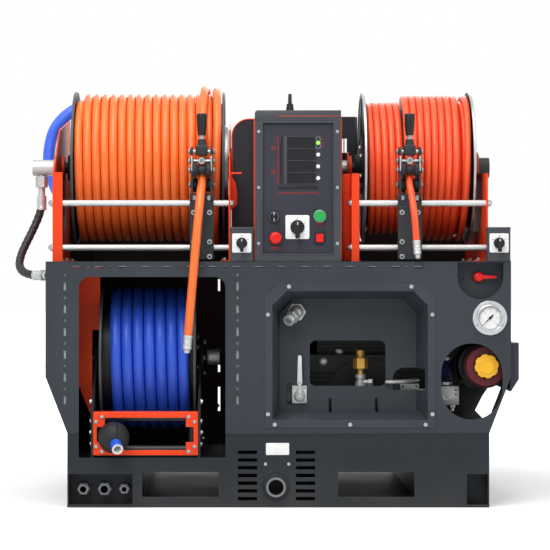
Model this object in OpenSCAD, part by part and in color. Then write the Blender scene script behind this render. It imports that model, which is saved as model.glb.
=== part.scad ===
// Skid drain jetter: two hose reels on a deck, a supply reel in a bay, engine and pump inside.
// Millimetres, X to the right, Y to the back, Z up. The origin is the centre of the base's underside.

/* [Body] */
// Width of the front panel and the deck
body_w = 1164; // [1150:1:1200]
// Depth of the body from the front plane to the back
body_d = 850; // [820:1:950]
// Width of the base
base_w = 1055; // [1045:1:1070]
// Height of the base
base_h = 185; // [178:1:195]
// Height of the deck's upper face
deck_z = 615; // [608:1:640]
// Height at which the sides turn in towards the base
skirt_z = 326; // [315:1:345]
// Thickness of the sheet metal
sheet = 3; // [2:0.5:4]
// Depth of the open return behind the right edge of the front panel
return_d = 90; // [60:1:120]
// How far the guard over the air filter stands out of the side
guard_out = 22; // [15:1:30]
// Width of a bend slot in the sheet
bend_slot_w = 6; // [4:0.5:8]
// Length of a long bend slot
bend_slot_l = 21; // [15:1:26]
// Spacing of the long bend slots
bend_slot_pitch = 57; // [50:1:70]

/* [Base] */
// Width of a fork pocket
fork_w = 191; // [180:1:200]
// Height of a fork pocket
fork_h = 62; // [55:1:66]
// Distance of a fork pocket's centre from the middle
fork_x = 245; // [235:1:250]
// Height of a fork pocket's floor
fork_z = 26; // [22:1:30]
// Width of the connection recess at the left end
recess_w = 160; // [150:1:170]
// Height of the connection recess and the corner notches
notch_h = 80; // [75:1:90]
// Depth of the connection recess and the corner notches
notch_d = 60; // [50:1:70]
// Width of a corner notch
notch_w = 53; // [50:1:60]
// Radius of a bolt-down hole
bolt_hole_r = 7; // [5:0.5:9]
// Width of a vent slot
vent_w = 48; // [40:1:55]
// Height of a vent slot
vent_h = 9; // [6:0.5:12]
// Radius of the water inlet's bore
inlet_r = 19.5; // [16:0.5:22]
// Bore radii of the three bulkhead connections, from the left
bulkhead_r = [8.5, 10, 6.5];

/* [Openings] */
// Width of the supply reel's bay
bay_w = 367; // [360:1:375]
// Distance from the left edge of the base, or of a narrower body, to the bay
bay_inset = 28.5; // [24:0.5:33]
// Height of the bay's lower edge
bay_z = 124; // [122:1:130]
// Distance from the bay's upper edge to the deck's upper face
bay_drop = 39; // [36:1:45]
// Radius of the bay's upper corners
bay_corner = 27; // [15:1:40]
// Width of the oval access hole
oval_w = 154; // [145:1:158]
// Height of the oval access hole
oval_h = 191; // [185:1:200]
// Distance from the body's right edge to the middle of the oval hole
oval_inset = 98; // [96:1:100]
// Height of the middle of the oval hole
oval_z = 314.5; // [308:0.5:320]
// Width of the valve recess at the upper right
valve_recess_w = 115; // [110:1:120]
// Depth of the valve recess
valve_recess_d = 40; // [35:1:50]
// Width of the service tray's mouth
tray_w = 393; // [385:1:400]
// Height of the service tray's mouth
tray_h = 327; // [320:1:330]
// Middle of the service tray, across the body
tray_x = 179.5; // [177:0.5:182]
// Height of the service tray's lower edge
tray_z = 216; // [214:1:222]
// Depth of the service tray
tray_d = 110; // [100:1:125]
// How far the tray's walls lean in over its depth
tray_lean = 21; // [15:1:25]
// Width of the tray's flange
tray_rim = 17; // [14:1:18]

/* [Deck reels] */
// Height of the reels' axis above the deck
reel_rise = 248; // [240:1:260]
// Distance of the reels' axis behind the front plane
reel_yd = 300; // [298:1:320]
// Radius of the reels' shafts
shaft_r = 15; // [12:0.5:20]
// Radius of the reels' end plates
flange_r = 198; // [190:1:202]
// Thickness of the reels' end plates
flange_t = 4; // [3:0.5:6]
// Diameter of the left hose
left_hose_d = 21.8; // [20:0.1:22]
// Centre-line radius of the left hose's inner layer
left_wind_r = 183; // [178:1:184]
// Diameter of the right hose
right_hose_d = 17.5; // [16:0.1:18]
// Centre-line radius of the right hose's inner layer
right_wind_r = 166; // [160:1:168]
// Gap between neighbouring turns of a wound hose
turn_gap = 0.5; // [0.45:0.05:0.8]
// Thickness of the reel frames' plates
frame_t = 4; // [3:0.5:6]
// Distance of the frames' front edge behind the front plane
frame_yd = 40; // [38:1:42]
// Depth of the reel frames, front to back
frame_d = 540; // [520:1:560]

/* [Hose guides] */
// Radius of the guide rails
rail_r = 8; // [7:0.5:9]
// Distance of the rails behind the frames' front edge
rail_in = 13; // [13:0.5:15]
// Height of the lower rail above the deck
rail_low = 35; // [32:1:40]
// Height of the upper rail above the deck
rail_high = 147; // [142:1:152]
// Width of a hose guide
guide_w = 60; // [56:1:64]
// Radius of a spool roller's rims
spool_r = 18; // [17:0.5:18.5]
// Radius of the pins that rollers turn on
pin_r = 4; // [3:0.5:5]
// Radius of the guide lever's grip
grip_r = 13; // [11:0.5:15]

/* [Supply reel] */
// Diameter of the supply hose
supply_hose_d = 28; // [26:0.1:28.4]
// Centre-line radius of the wound supply hose
supply_wind_r = 171; // [166:1:173]
// Radius of the supply reel's end plates
supply_flange_r = 190; // [186:1:194]
// Distance of the supply reel's axis behind the front plane
supply_yd = 255; // [252:1:275]
// Height of the supply reel's axis
supply_z = 366; // [360:1:370]
// Height of the fairlead
fairlead_h = 108; // [104:1:112]
// Depth of the fairlead, front to back
fairlead_d = 42; // [41:0.5:48]
// Radius of the fairlead's rollers
lead_roller_r = 9.5; // [8:0.5:9.8]
// Radius of the hose's ball stop
stop_r = 39; // [36:1:42]

/* [Controls] */
// Width of the control box
box_w = 215; // [210:1:220]
// Height of the control box above the deck
box_h = 378; // [370:1:390]
// Depth of the control box
box_d = 110; // [90:1:118]
// Middle of the control box, across the body
box_x = 49.5; // [48:0.5:52]
// Side of the main switch's plate
main_plate = 60; // [56:1:64]
// Side of a reel switch's plate
reel_plate = 48; // [44:1:52]
// Travel of the emergency stop
stop_travel = 5; // [3:0.5:6]
// Radius of the gauge's flange
gauge_flange_r = 43; // [40:1:46]
// Radius of the gauge's dial
gauge_dial_r = 27; // [24:1:29]

/* [Hidden] */
$fn = 48;

// Clearances: pieces that pass each other, a running fit, a wound hose over its drum
clear = 0.3;
run = 0.05;
drum_gap = 0.5;

// Edges of the body
front = -body_d / 2;
left = -body_w / 2;
right = body_w / 2;
deck_under = deck_z - sheet;
bay_left = -min(base_w, body_w) / 2 + bay_inset;
bay_right = bay_left + bay_w;
bay_top = deck_z - bay_drop;
bay_floor = bay_z - 4;
fork_top = fork_z + fork_h + sheet;

// Base fittings
inlet_x = bay_right + 126;
inlet_z = 51;
recess_x = -base_w / 2 + sheet;
bulkhead_x = [for (step = [35, 88, 138]) recess_x + step];
bulkhead_z = 43;
bolt_x = base_w / 2 - 33;
bolt_y = body_d / 2 - notch_d / 2;
vent_x = [inlet_x - 71, inlet_x + 74];
vent_top = 142;
vent_pitch = 19.3;

// Deck reels: a plate, a gap, an end plate and the wound hose, from the outside in
reel_z = deck_z + reel_rise;
frame_inset = 14;
right_inset = 57;
// Gaps between the frames' plates and the reels' end plates, from left to right
left_gaps = [38, 13];
right_gaps = [35, 21];
side_gap = 1;
// Heights of the frames' plates above the deck: at the front, at the bend and at the back
tall_h = [225, 344, 391];
tall_bend = 200;
low_h = [222, 245];
edge_w = [25, 19];
// Cover of the left reel's drive: height above the deck, reach in front of and behind the axis
housing_h = 365;
housing_reach = [170, 130];
housing_corner = 45;
// Wing of that cover beside the right reel, and its slots: left edge, width, low and high end
wing_h = 392;
wing_gap = 10;
wing_slots = [[-8, 5], [0, 6]];
wing_slot_z = [47, 85];
// Dark guards behind the reels: height, and distance from the frames' back edge
reel_guard_h = 90;
reel_guard_in = 10;
boss_r = 32;
boss_l = 8;
left_pitch = left_hose_d + turn_gap;
left_spans = 16;
left_coil_w = left_spans * left_pitch + left_hose_d;
left_frame_x = left + frame_inset;
left_flange_x = left_frame_x + frame_t + left_gaps[0];
left_coil_x = left_flange_x + flange_t + side_gap;
left_inner_flange_x = left_coil_x + left_coil_w + side_gap;
left_inner_frame_x = left_inner_flange_x + flange_t + left_gaps[1];
right_pitch = right_hose_d + turn_gap;
right_spans = 14;
right_coil_w = right_spans * right_pitch + right_hose_d;
right_frame_x = right - right_inset;
right_flange_x = right_frame_x - right_gaps[1] - flange_t;
right_coil_x = right_flange_x - side_gap - right_coil_w;
right_inner_flange_x = right_coil_x - side_gap - flange_t;
right_inner_frame_x = right_inner_flange_x - right_gaps[0] - frame_t;
motor_engage = 22;
left_motor_r = 52;

// Supply reel, from its left arm to its right one
supply_pitch = supply_hose_d + turn_gap;
supply_turns = 7.125;
supply_coil_w = supply_turns * supply_pitch + supply_hose_d;
arm_t = 6;
arm_front = sheet + clear;
arm_left = bay_left + 36;
supply_flange_x = arm_left + 12;
supply_coil_x = supply_flange_x + flange_t + side_gap;
supply_end_flange_x = supply_coil_x + supply_coil_w + side_gap;
arm_right = supply_end_flange_x + flange_t + 9;
lead_z = bay_floor + 10;
lead_yd = 4;
lead_t = 4;
lead_front = lead_yd + lead_roller_r + 1.5;
lead_back = lead_front + 2 * lead_roller_r + 1;
lead_side = lead_t + lead_roller_r + 1;
// Place of the ball stop along the last straight stretch of the supply hose, from 0 to 1
stop_along = 0.42;

// Winding: rings in a turn, sides of a wound hose, the part of a turn in which it climbs a layer,
// and the wider step that the first turn back takes to clear that climb
turn_rings = 16;
wind_sides = 6;
climb = 0.5;
first_step = 1.75;
// Turns of each winding: inner layer, hidden stretch, its span in pitches, outer layer
left_turns = [15.5, 0, 0, 1];
right_turns = [4.5, 1, 9, 8.0625];
supply_layers = [supply_turns, 0, 0, 0];

// Place of a winding's centre line after t turns, in pitches along the drum
function wind_step(t, turns) =
    let (flat = turns[0], hidden = flat + turns[1], top = hidden + climb)
    t <= flat ? t :
    t <= hidden ? flat + (t - flat) * turns[2] / turns[1] :
    t <= top ? flat + turns[2] + t - hidden :
    flat + turns[2] + climb - first_step * min(t - top, 1) - max(t - top - 1, 0);
// How far a winding has climbed after t turns, from 0 to 1
function wind_climb(t, turns) =
    turns[3] == 0 ? 0 : min(max((t - turns[0] - turns[1]) / climb, 0), 1);
function wind_total(turns) = turns[0] + turns[1] + turns[3] + (turns[3] > 0 ? climb : 0);

// Radius of the drum inside a winding, whose sides are flat
function drum_r(r, d) = (r - d / 2 * cos(180 / wind_sides)) * cos(180 / turn_rings) - drum_gap;

// Routes of the free hoses, chosen by hand: X, distance behind the front plane, Z
left_tail_route = [
    [-191, 45, 827], [-194, 19, 791], [-197, -7, 755], [-202, -20, 700], [-207, -28, 640],
    [-214, -30, 560], [-220, -30, 490], [-225, -30, 430]
];
right_tail_route = [
    [330, 45, 827], [333, 19, 791], [337, -6, 755], [341, -17, 710], [344, -20, 666]
];
supply_route = [
    [-431, 150, 196], [-428, 80, 202], [-419, 8, 195], [-397, -92, 152]
];
whip_route = [
    [-618, 300, 763], [-618, 300, 735], [-622, 294, 700], [-634, 279, 655], [-650, 254, 610],
    [-661, 225, 580], [-667, 195, 563], [-668, 166, 562], [-656, 141, 573], [-634, 130, 580],
    [-606, 130, 580]
];
feed_yd = 610;
feed_route = [
    [-540, 645], [-540, 685], [-558, 740], [-596, 800], [-620, 860], [-625, 920], [-607, 988],
    [-557, 1037], [-490, 1055], [-422, 1037], [-373, 988], [-355, 920], [-355, 800], [-355, 645]
];
whip_d = 21;
feed_d = 33;
cord_sides = 10;
ferrule_t = 0.8;
ferrule_l = 43;
cord_gap = 0.5;

// Where the hose leaves each drum: the tangent to the winding through the guide's nip
nip_yd = 45;
nip_z = deck_z + 212;
function leave_angle(axis, r, nip, turn) =
    let (d = nip - axis)
    atan2(d[1], d[0]) - turn * acos(r / norm(d));
reel_axis = [reel_yd, reel_z];
supply_axis = [supply_yd, supply_z];
nip = [nip_yd, nip_z];
lead_point = [supply_route[2][1], supply_route[2][2]];
left_leave = leave_angle(reel_axis, left_wind_r + left_pitch, nip, 1);
right_leave = leave_angle(reel_axis, right_wind_r + right_pitch, nip, 1);
supply_leave = leave_angle(supply_axis, supply_wind_r, lead_point, -1);

// Centre-line points of a winding, with a straight diameter at both ends: [point, radial direction]
// spec is [hose diameter, radius, turns, first X, side it winds towards, axis, leaving angle, sense]
function wind_ring(t, spec) =
    let (turns = spec[2])
    let (pitch = spec[0] + turn_gap)
    let (total = wind_total(turns))
    let (a = spec[6] - spec[7] * 360 * (total - min(max(t, 0), total)))
    let (along = t < 0 ? -spec[0] : t > total ? spec[0] : 0)
    let (r = spec[1] + pitch * wind_climb(t, turns))
    let (out = [cos(a), sin(a)])
    let (way = spec[7] * [-sin(a), cos(a)])
    let (p = spec[5] + r * out + along * way)
    [[spec[3] + spec[4] * pitch * wind_step(min(max(t, 0), total), turns), p[0], p[1]],
     [0, out[0], out[1]]];
function wind_rings(spec) =
    let (steps = wind_total(spec[2]) * turn_rings)
    [for (i = [-1 : steps + 1]) wind_ring(i / turn_rings, spec)];
function wind_end(spec) =
    let (rings = wind_rings(spec))
    rings[len(rings) - 1][0];

left_spec = [left_hose_d, left_wind_r, left_turns, left_coil_x + left_hose_d / 2, 1,
             reel_axis, left_leave, 1];
right_spec = [right_hose_d, right_wind_r, right_turns, right_coil_x + right_hose_d / 2, 1,
              reel_axis, right_leave, 1];
supply_spec = [supply_hose_d, supply_wind_r, supply_layers,
               supply_coil_x + supply_coil_w - supply_hose_d / 2, -1,
               supply_axis, supply_leave, -1];
left_end = wind_end(left_spec);
right_end = wind_end(right_spec);
supply_end = wind_end(supply_spec);

// Hose guides: where they stand at rest, and the rollers on both sides of the hose
left_guide_x = left_end[0];
right_guide_x = right_end[0];
rail_yd = frame_yd + rail_in;
rail_zs = [deck_z + rail_low, deck_z + rail_high];
neck_r = pin_r + 6;
stagger = 8.5;
yoke_in = guide_w / 2 - 8;
yoke_t = 5;
yoke_out = yoke_in + yoke_t;
head_t = 4;
head_r = 7;
// Screws of a guide: heights above the deck, distance from its middle, radius
guide_screw_rise = [12, 49, 123];
guide_screw_x = 20;
guide_screw_r = 5;
lever_yd = nip_yd;
lever_z = nip_z + 65;
spacer_yd = nip_yd - 5;
spacer_z = nip_z + 41;
function feed_way(end) = let (d = nip - [end[1], end[2]]) d / norm(d);
function roller_at(end, hose_d, side) =
    let (u = feed_way(end))
    let (n = [u[1], -u[0]])
    let (off = hose_d / 2 + neck_r + 0.5)
    nip + side * (off * n - stagger * u);

// Controls
box_left = box_x - box_w / 2;
box_top = deck_z + box_h;
box_yd = 5;
box_wall = 2.5;
box_cut = 12;
fascia_in = 6;
fascia_rim = 18;
fascia_t = 2.5;
fascia_yd = box_yd + fascia_in;
switch_box_w = 57;
switch_box_h = 84;
switch_z = deck_z + 46;
plate_t = 2.5;
left_switch_x = left_inner_frame_x + 33;
right_switch_x = right - 1 - switch_box_w / 2;
main_switch = [box_x - 1.5, deck_z + 86];
key_at = [box_x - 60.5, deck_z + 111];
stop_at = [box_x - 56.5, deck_z + 58.5];
start_at = [box_x + 54.5, deck_z + 113];
rocker_at = [box_x + 54.5, deck_z + 59];
gauge_at = [right - 53, deck_z - 141.5];
red_at = [right - 78, deck_z - 39];
outlet_at = [tray_x - 131.5, tray_z + 271];
lever_at = [tray_x - 123.5, tray_z + 57];
filter_at = [right - 59, 352];
filter_r = 55.5;
filter_body_r = 60;
filter_body_in = 12;
cap_r = 27;
// Radii of the shafts and stems in the controls, and how far their collars stand out
cam_shaft_r = 4;
valve_shaft_r = 4;
key_r = 3;
stop_stem_r = 8;
start_stem_r = 12;
needle_r = 1.5;
rocker_pin_r = 1.5;
rocker_w = 18;
collar_l = 5;
barrel_l = 10;

// Front end of the pipe opening in the tray's right wall
tray_hole_yd = 25;

// Engine, pump and intake behind the openings: from left to right, front to back, low to high
engine_x = [60, 420];
engine_yd = [330, body_d - 130];
engine_top = 370;
throttle_x = [417, 463];
throttle_yd = [120, 160];
throttle_z = [249, 298];
intake_at = [434, 140];
intake_top = 372;
pump_x = [110, 370];
pump_yd = [160, 300];
pump_top = 262;
relief_at = [216, 200];
relief_z = pump_top + 32;

// Helper shapes. Depths are measured from the front plane, towards the back.
module box(x0, x1, yd0, yd1, z0, z1)
    translate([x0, front + yd0, z0]) cube([x1 - x0, yd1 - yd0, z1 - z0]);
module rod_x(x0, x1, yd, z, r)
    translate([x0, front + yd, z]) rotate([0, 90, 0]) cylinder(r = r, h = x1 - x0);
module rod_y(x, yd0, yd1, z, r)
    translate([x, front + yd0, z]) rotate([-90, 0, 0]) cylinder(r = r, h = yd1 - yd0);
module rod_z(x, yd, z0, z1, r)
    translate([x, front + yd, z0]) cylinder(r = r, h = z1 - z0);
// Extrude an outline drawn in X and Z along the depth
module sheet_y(yd0, yd1)
    translate([0, front + yd1, 0]) rotate([90, 0, 0]) linear_extrude(yd1 - yd0) children();
// Extrude an outline drawn in depth and Z across the width
module sheet_x(x0, x1)
    translate([x0, front, 0]) rotate([90, 0, 90]) linear_extrude(x1 - x0) children();
// Turn a shape that stands along Z to stand along v
module along(v) rotate([0, acos(v[2] / norm(v)), atan2(v[1], v[0])]) children();
module round_rect(x0, x1, z0, z1, r) {
    translate([x0 + r, z0]) square([x1 - x0 - 2 * r, z1 - z0]);
    translate([x0, z0 + r]) square([x1 - x0, z1 - z0 - 2 * r]);
    for (x = [x0 + r, x1 - r]) for (z = [z0 + r, z1 - r]) translate([x, z]) circle(r);
}
// One closed tube through rings of points; rings is a list of lists of the same length
module skin(rings) {
    sides = len(rings[0]);
    last = len(rings) - 1;
    points = [for (ring = rings) each ring];
    walls = [for (i = [0 : last - 1]) for (k = [0 : sides - 1])
        let (a = i * sides + k, b = i * sides + (k + 1) % sides)
        each [[a, a + sides, b], [b, a + sides, b + sides]]];
    caps = [for (k = [1 : sides - 2])
        each [[0, k, k + 1], [last * sides, last * sides + k + 1, last * sides + k]]];
    polyhedron(points, concat(walls, caps));
}
function unit(v) = v / norm(v);
// A round tube swept along points; aside is a direction that the route never runs along
module sweep(points, d, aside) {
    last = len(points) - 1;
    rings = [for (i = [0 : last])
        let (way = unit(points[min(i + 1, last)] - points[max(i - 1, 0)]))
        let (u = unit(cross(way, aside)))
        let (v = cross(way, u))
        [for (k = [0 : cord_sides - 1])
            let (a = 360 * k / cord_sides)
            points[i] + d / 2 * (cos(a) * u + sin(a) * v)]];
    translate([0, front, 0]) skin(rings);
}
// A wound hose: the rings of its winding, and its least gap to itself, printed
module winding(spec) {
    rings = wind_rings(spec);
    d = spec[0];
    apart = ceil(turn_rings * 0.7);
    least = min([for (i = [0 : len(rings) - 1 - apart]) for (j = [i + apart : len(rings) - 1])
        norm(rings[i][0] - rings[j][0])]) - d;
    echo(least_gap_to_itself = least);
    translate([0, front, 0]) skin([for (ring = rings)
        [for (k = [0 : wind_sides - 1])
            let (a = spec[7] * 360 * k / wind_sides)
            ring[0] + d / 2 * (cos(a) * [1, 0, 0] + sin(a) * ring[1])]]);
}

// Outline of the body from the front, above the base
module body_outline()
    polygon([
        [left, deck_under], [left, skirt_z], [-base_w / 2, base_h],
        [base_w / 2, base_h], [right, skirt_z], [right, deck_under]
    ]);

// Welded base: folded tub, fork tubes, bay shelf, connection recess and corner notches
module base_tub() color("#3c4147") {
    half = base_w / 2;
    shelf_x = bay_right + 22;
    difference() {
        union() {
            difference() {
                box(-half, half, 0, body_d, 0, base_h);
                box(-half + sheet, half - sheet, sheet, body_d - sheet, sheet, base_h + 1);
            }
            for (side = [-1, 1]) {
                mid = side * fork_x;
                box(mid - fork_w / 2 - sheet, mid + fork_w / 2 + sheet, 0, body_d, 1, fork_top);
            }
            box(recess_x, recess_x + recess_w + sheet, 0, notch_d + sheet, 1, notch_h + 2 * sheet);
            for (end = [0, body_d - notch_d - sheet])
                box(half - notch_w - 2 * sheet, half, end, end + notch_d + sheet, 1, notch_h + 2 * sheet);
            box(-half, -half + notch_w + 2 * sheet, body_d - notch_d - sheet, body_d, 1, notch_h + 2 * sheet);
            box(-half + sheet, shelf_x, sheet, 500, bay_floor - sheet, bay_floor);
            box(shelf_x, shelf_x + sheet, sheet, 500, 1, bay_floor);
        }
        for (side = [-1, 1]) {
            mid = side * fork_x;
            box(mid - fork_w / 2, mid + fork_w / 2, -1, body_d + 1, fork_z, fork_z + fork_h);
            for (y = [-bolt_y, bolt_y])
                translate([side * bolt_x, y, -1]) cylinder(r = bolt_hole_r, h = sheet + 2);
        }
        box(recess_x, recess_x + recess_w, -1, notch_d, sheet, notch_h + sheet);
        for (end = [-1, body_d - notch_d])
            box(half - notch_w - sheet, half - sheet, end, end + notch_d + 1, sheet, notch_h + sheet);
        box(-half + sheet, -half + notch_w + sheet, body_d - notch_d, body_d + 1, sheet, notch_h + sheet);
        box(bay_left, bay_right, -1, sheet + 1, bay_z, base_h + 1);
        for (x = vent_x) for (i = [0 : 6])
            box(x - vent_w / 2, x + vent_w / 2, -1, sheet + 1,
                vent_top - i * vent_pitch - vent_h, vent_top - i * vent_pitch);
        rod_y(inlet_x, -1, sheet + 1, inlet_z, inlet_r + 5.5);
        for (i = [0 : 2])
            rod_y(bulkhead_x[i], notch_d - 1, notch_d + sheet + 1, bulkhead_z, bulkhead_r[i] + 3);
    }
}

// Rows of slots along which the sheet is bent
module bend_slots() {
    top_z = deck_z - 14;
    first = left + 77;
    for (i = [0 : 15]) {
        x = first + i * bend_slot_pitch;
        translate([x, top_z]) square([bend_slot_l, bend_slot_w], center = true);
        translate([x + bend_slot_pitch / 2, top_z]) square(bend_slot_w, center = true);
    }
    for (x = [bay_left - 35, bay_right + 30]) for (i = [0 : 5]) {
        z = deck_z - 62 - i * bend_slot_pitch;
        translate([x, z]) square([bend_slot_w, bend_slot_l], center = true);
        translate([x, z + bend_slot_pitch / 2]) square(bend_slot_w, center = true);
    }
}
// Opening with a round lower end that runs out of the top edge
module valve_recess_outline(grow) {
    r = valve_recess_w / 2 + grow;
    mid = red_at[0] + 1.5;
    z = deck_under - 35;
    translate([mid, z]) circle(r);
    translate([mid - r, z]) square([2 * r, deck_under - z + grow]);
}
// Front panel with its openings and the folded pocket of the valve recess
module front_panel() color("#44494f") {
    oval_x = right - oval_inset;
    straight = (oval_h - oval_w) / 2;
    sheet_y(0, sheet) difference() {
        body_outline();
        round_rect(bay_left, bay_right, bay_z - bay_corner, bay_top, bay_corner);
        for (z = [oval_z - straight, oval_z + straight]) translate([oval_x, z]) circle(oval_w / 2);
        translate([oval_x - oval_w / 2, oval_z - straight]) square([oval_w, 2 * straight]);
        tray_outline(0, clear);
        valve_recess_outline(0);
        translate(gauge_at) circle(gauge_dial_r + 4);
        bend_slots();
    }
    difference() {
        intersection() {
            sheet_y(sheet, valve_recess_d + sheet) valve_recess_outline(sheet);
            box(left, right, 0, body_d, 0, deck_under);
        }
        sheet_y(sheet - 1, valve_recess_d) valve_recess_outline(0);
        rod_y(red_at[0], 0, body_d, red_at[1], 8);
    }
}

// Left side, upper right side, rear panel and the guard over the air filter
module body_panels() color("#44494f") {
    side_d = body_d - sheet;
    wall = [[left, skirt_z], [left, deck_under], [left + sheet, deck_under], [left + sheet, skirt_z],
            [-base_w / 2 + sheet, base_h], [-base_w / 2, base_h]];
    guard_z = [288, 320, 411];
    difference() {
        sheet_y(sheet, side_d) polygon(wall);
        rod_x(left - 1, left + sheet + 1, whip_route[10][1], whip_route[10][2], 9);
    }
    sheet_y(sheet, sheet + return_d) mirror([1, 0]) polygon(wall);
    sheet_y(side_d - return_d, side_d) mirror([1, 0]) polygon(wall);
    box(right - sheet, right, sheet, side_d, guard_z[2] - 20, deck_under);
    difference() {
        sheet_y(side_d, body_d) body_outline();
        for (span = [[535, 569], [302, 322], [190, 259]])
            box(bay_right - 27, bay_right - 21, side_d - 1, body_d + 1, span[0], span[1]);
    }
    sheet_y(sheet + 20, 600) polygon([
        [right, guard_z[2]], [right + guard_out, guard_z[2]], [right + guard_out, guard_z[1]],
        [right + 2, guard_z[0]], [right + 2, guard_z[0] + 2 * sheet],
        [right + guard_out - sheet, guard_z[1] + sheet],
        [right + guard_out - sheet, guard_z[2] - sheet], [right, guard_z[2] - sheet]
    ]);
    sheet_y(20, sheet + 20) polygon([
        [right, guard_z[2]], [right + guard_out, guard_z[2]], [right + guard_out, guard_z[1]],
        [right + 2, guard_z[0]], [right, guard_z[0] + sheet]
    ]);
}

// Deck plate that carries the reels and the control box
module deck() color("#3c4147")
    box(left, right, 0, body_d, deck_under, deck_z);

// Mouth of the tray, with its upper corners cut off; lean moves the walls in, grow out
module tray_outline(lean, grow) {
    x0 = tray_x - tray_w / 2 + lean - grow;
    x1 = tray_x + tray_w / 2 - lean + grow;
    z0 = tray_z + lean - grow;
    z1 = tray_z + tray_h - lean + grow;
    cut = 36;
    polygon([[x0, z0], [x0, z1 - cut], [x0 + cut, z1], [x1 - cut, z1], [x1, z1 - cut], [x1, z0]]);
}
// Recessed service tray: flange on the front panel, leaning walls, a back with its openings
module service_tray() color("#3a3f45") {
    t = 2;
    skin_d = 0.1;
    difference() {
        union() {
            sheet_y(-t, 0) tray_outline(0, tray_rim);
            hull() {
                sheet_y(-skin_d, 0) tray_outline(0, 0);
                sheet_y(tray_d, tray_d + t) tray_outline(tray_lean, 0);
            }
        }
        hull() {
            sheet_y(-t - 1, -t) tray_outline(0, -t);
            sheet_y(tray_d - skin_d, tray_d) tray_outline(tray_lean, -t);
        }
        sheet_y(tray_d - 1, tray_d + t + 1) {
            round_rect(tray_x - 97.5, tray_x + 95.5, tray_z + 82, tray_z + 198, 15);
            translate([tray_x + 114.5, tray_z + 72]) square([57, 28.5]);
            translate([tray_x + 143, tray_z + 100.5]) circle(28.5);
            translate(outlet_at) circle(18);
            translate(lever_at) circle(8);
        }
        box(tray_x + 143, tray_x + tray_w / 2 + 1, tray_hole_yd, tray_d + t + 1, tray_z + 72, tray_z + 129);
        for (x = [tray_x - 45.5, tray_x + 72.5])
            box(x - 3.75, x + 3.75, tray_d - 30, tray_d + t + 1, tray_z + 13, tray_z + 51);
    }
}

// Side plate of a reel frame: outline in depth and Z, with a boss that carries the shaft
module frame_plate(x, profile, boss_x) {
    bore = shaft_r + run;
    difference() {
        union() {
            sheet_x(x, x + frame_t) {
                polygon(profile);
                translate([reel_yd, reel_z]) circle(boss_r + 10);
            }
            rod_x(boss_x, boss_x + boss_l, reel_yd, reel_z, boss_r);
        }
        rod_x(x - boss_l - 1, x + frame_t + boss_l + 1, reel_yd, reel_z, bore);
    }
}
// Folded front edge of a side plate, from the deck to a height above it
module frame_edge(x0, x1, h)
    box(x0, x1, frame_yd, frame_yd + frame_t, deck_z, deck_z + h);
// Side plates of both deck reels
module reel_frames() color("#ee5530") {
    back = frame_yd + frame_d;
    tall = [[frame_yd, deck_z], [frame_yd, deck_z + tall_h[0]],
            [frame_yd + tall_bend, deck_z + tall_h[1]], [back, deck_z + tall_h[2]], [back, deck_z]];
    low = [[frame_yd, deck_z], [frame_yd, deck_z + low_h[0]], [back, deck_z + low_h[1]], [back, deck_z]];
    tab_l = 33;
    frame_plate(left_frame_x, tall, left_frame_x + frame_t);
    frame_edge(left_frame_x, left_frame_x + edge_w[0], tall_h[0]);
    frame_plate(left_inner_frame_x, tall, left_inner_frame_x - boss_l);
    for (z = [deck_z + tall_h[0] - frame_t, deck_z + 1])
        box(left_inner_frame_x, left_inner_frame_x + tab_l, frame_yd + 6, frame_yd + 26, z, z + frame_t);
    frame_plate(right_inner_frame_x, low, right_inner_frame_x + frame_t);
    frame_edge(right_inner_frame_x, right_inner_frame_x + edge_w[1], low_h[0]);
    frame_plate(right_frame_x, low, right_frame_x - boss_l);
}
// Two round rails in front of each deck reel
module guide_rails() color("#d8d8d6")
    for (z = rail_zs) {
        rod_x(left_frame_x + frame_t, left_inner_frame_x, rail_yd, z, rail_r);
        rod_x(right_inner_frame_x + frame_t, right_frame_x, rail_yd, z, rail_r);
    }
// Cover over the drive of the left reel, open below, with one rounded upper corner and a slotted wing,
// and the guards behind both reels
module drive_housing() color("#202326") {
    x0 = left_inner_frame_x + frame_t + 3;
    x1 = right_inner_frame_x - 20;
    top = deck_z + housing_h;
    wall = 2;
    depth = [reel_yd - housing_reach[0], reel_yd + housing_reach[1]];
    difference() {
        sheet_y(depth[0], depth[1]) housing_outline(x0, x1, top, housing_corner);
        sheet_y(depth[0] + wall, depth[1] - wall)
            housing_outline(x0 + wall, x1 - wall, top - wall, housing_corner - wall);
        rod_x(x0 - 1, x0 + wall + 1, reel_yd, reel_z, left_motor_r + 10);
    }
    difference() {
        box(x1 - wall, right_inner_flange_x - wing_gap, depth[1] - wall, depth[1], reel_z, deck_z + wing_h);
        for (slot = wing_slots)
            box(right_inner_frame_x + slot[0], right_inner_frame_x + slot[0] + slot[1], depth[1] - wall - 1,
                depth[1] + 1, reel_z + wing_slot_z[0], reel_z + wing_slot_z[1]);
    }
    guard_yd = frame_yd + frame_d - reel_guard_in;
    for (span = [[left_frame_x + frame_t, left_inner_frame_x], [right_inner_frame_x + frame_t, right_frame_x]])
        box(span[0], span[1], guard_yd, guard_yd + sheet, deck_z, deck_z + reel_guard_h);
}
module housing_outline(x0, x1, top, corner) {
    translate([x0 + corner, deck_z]) square([x1 - x0 - corner, top - deck_z]);
    translate([x0, deck_z]) square([x1 - x0, top - corner - deck_z]);
    translate([x0 + corner, top - corner]) circle(corner);
}

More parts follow.
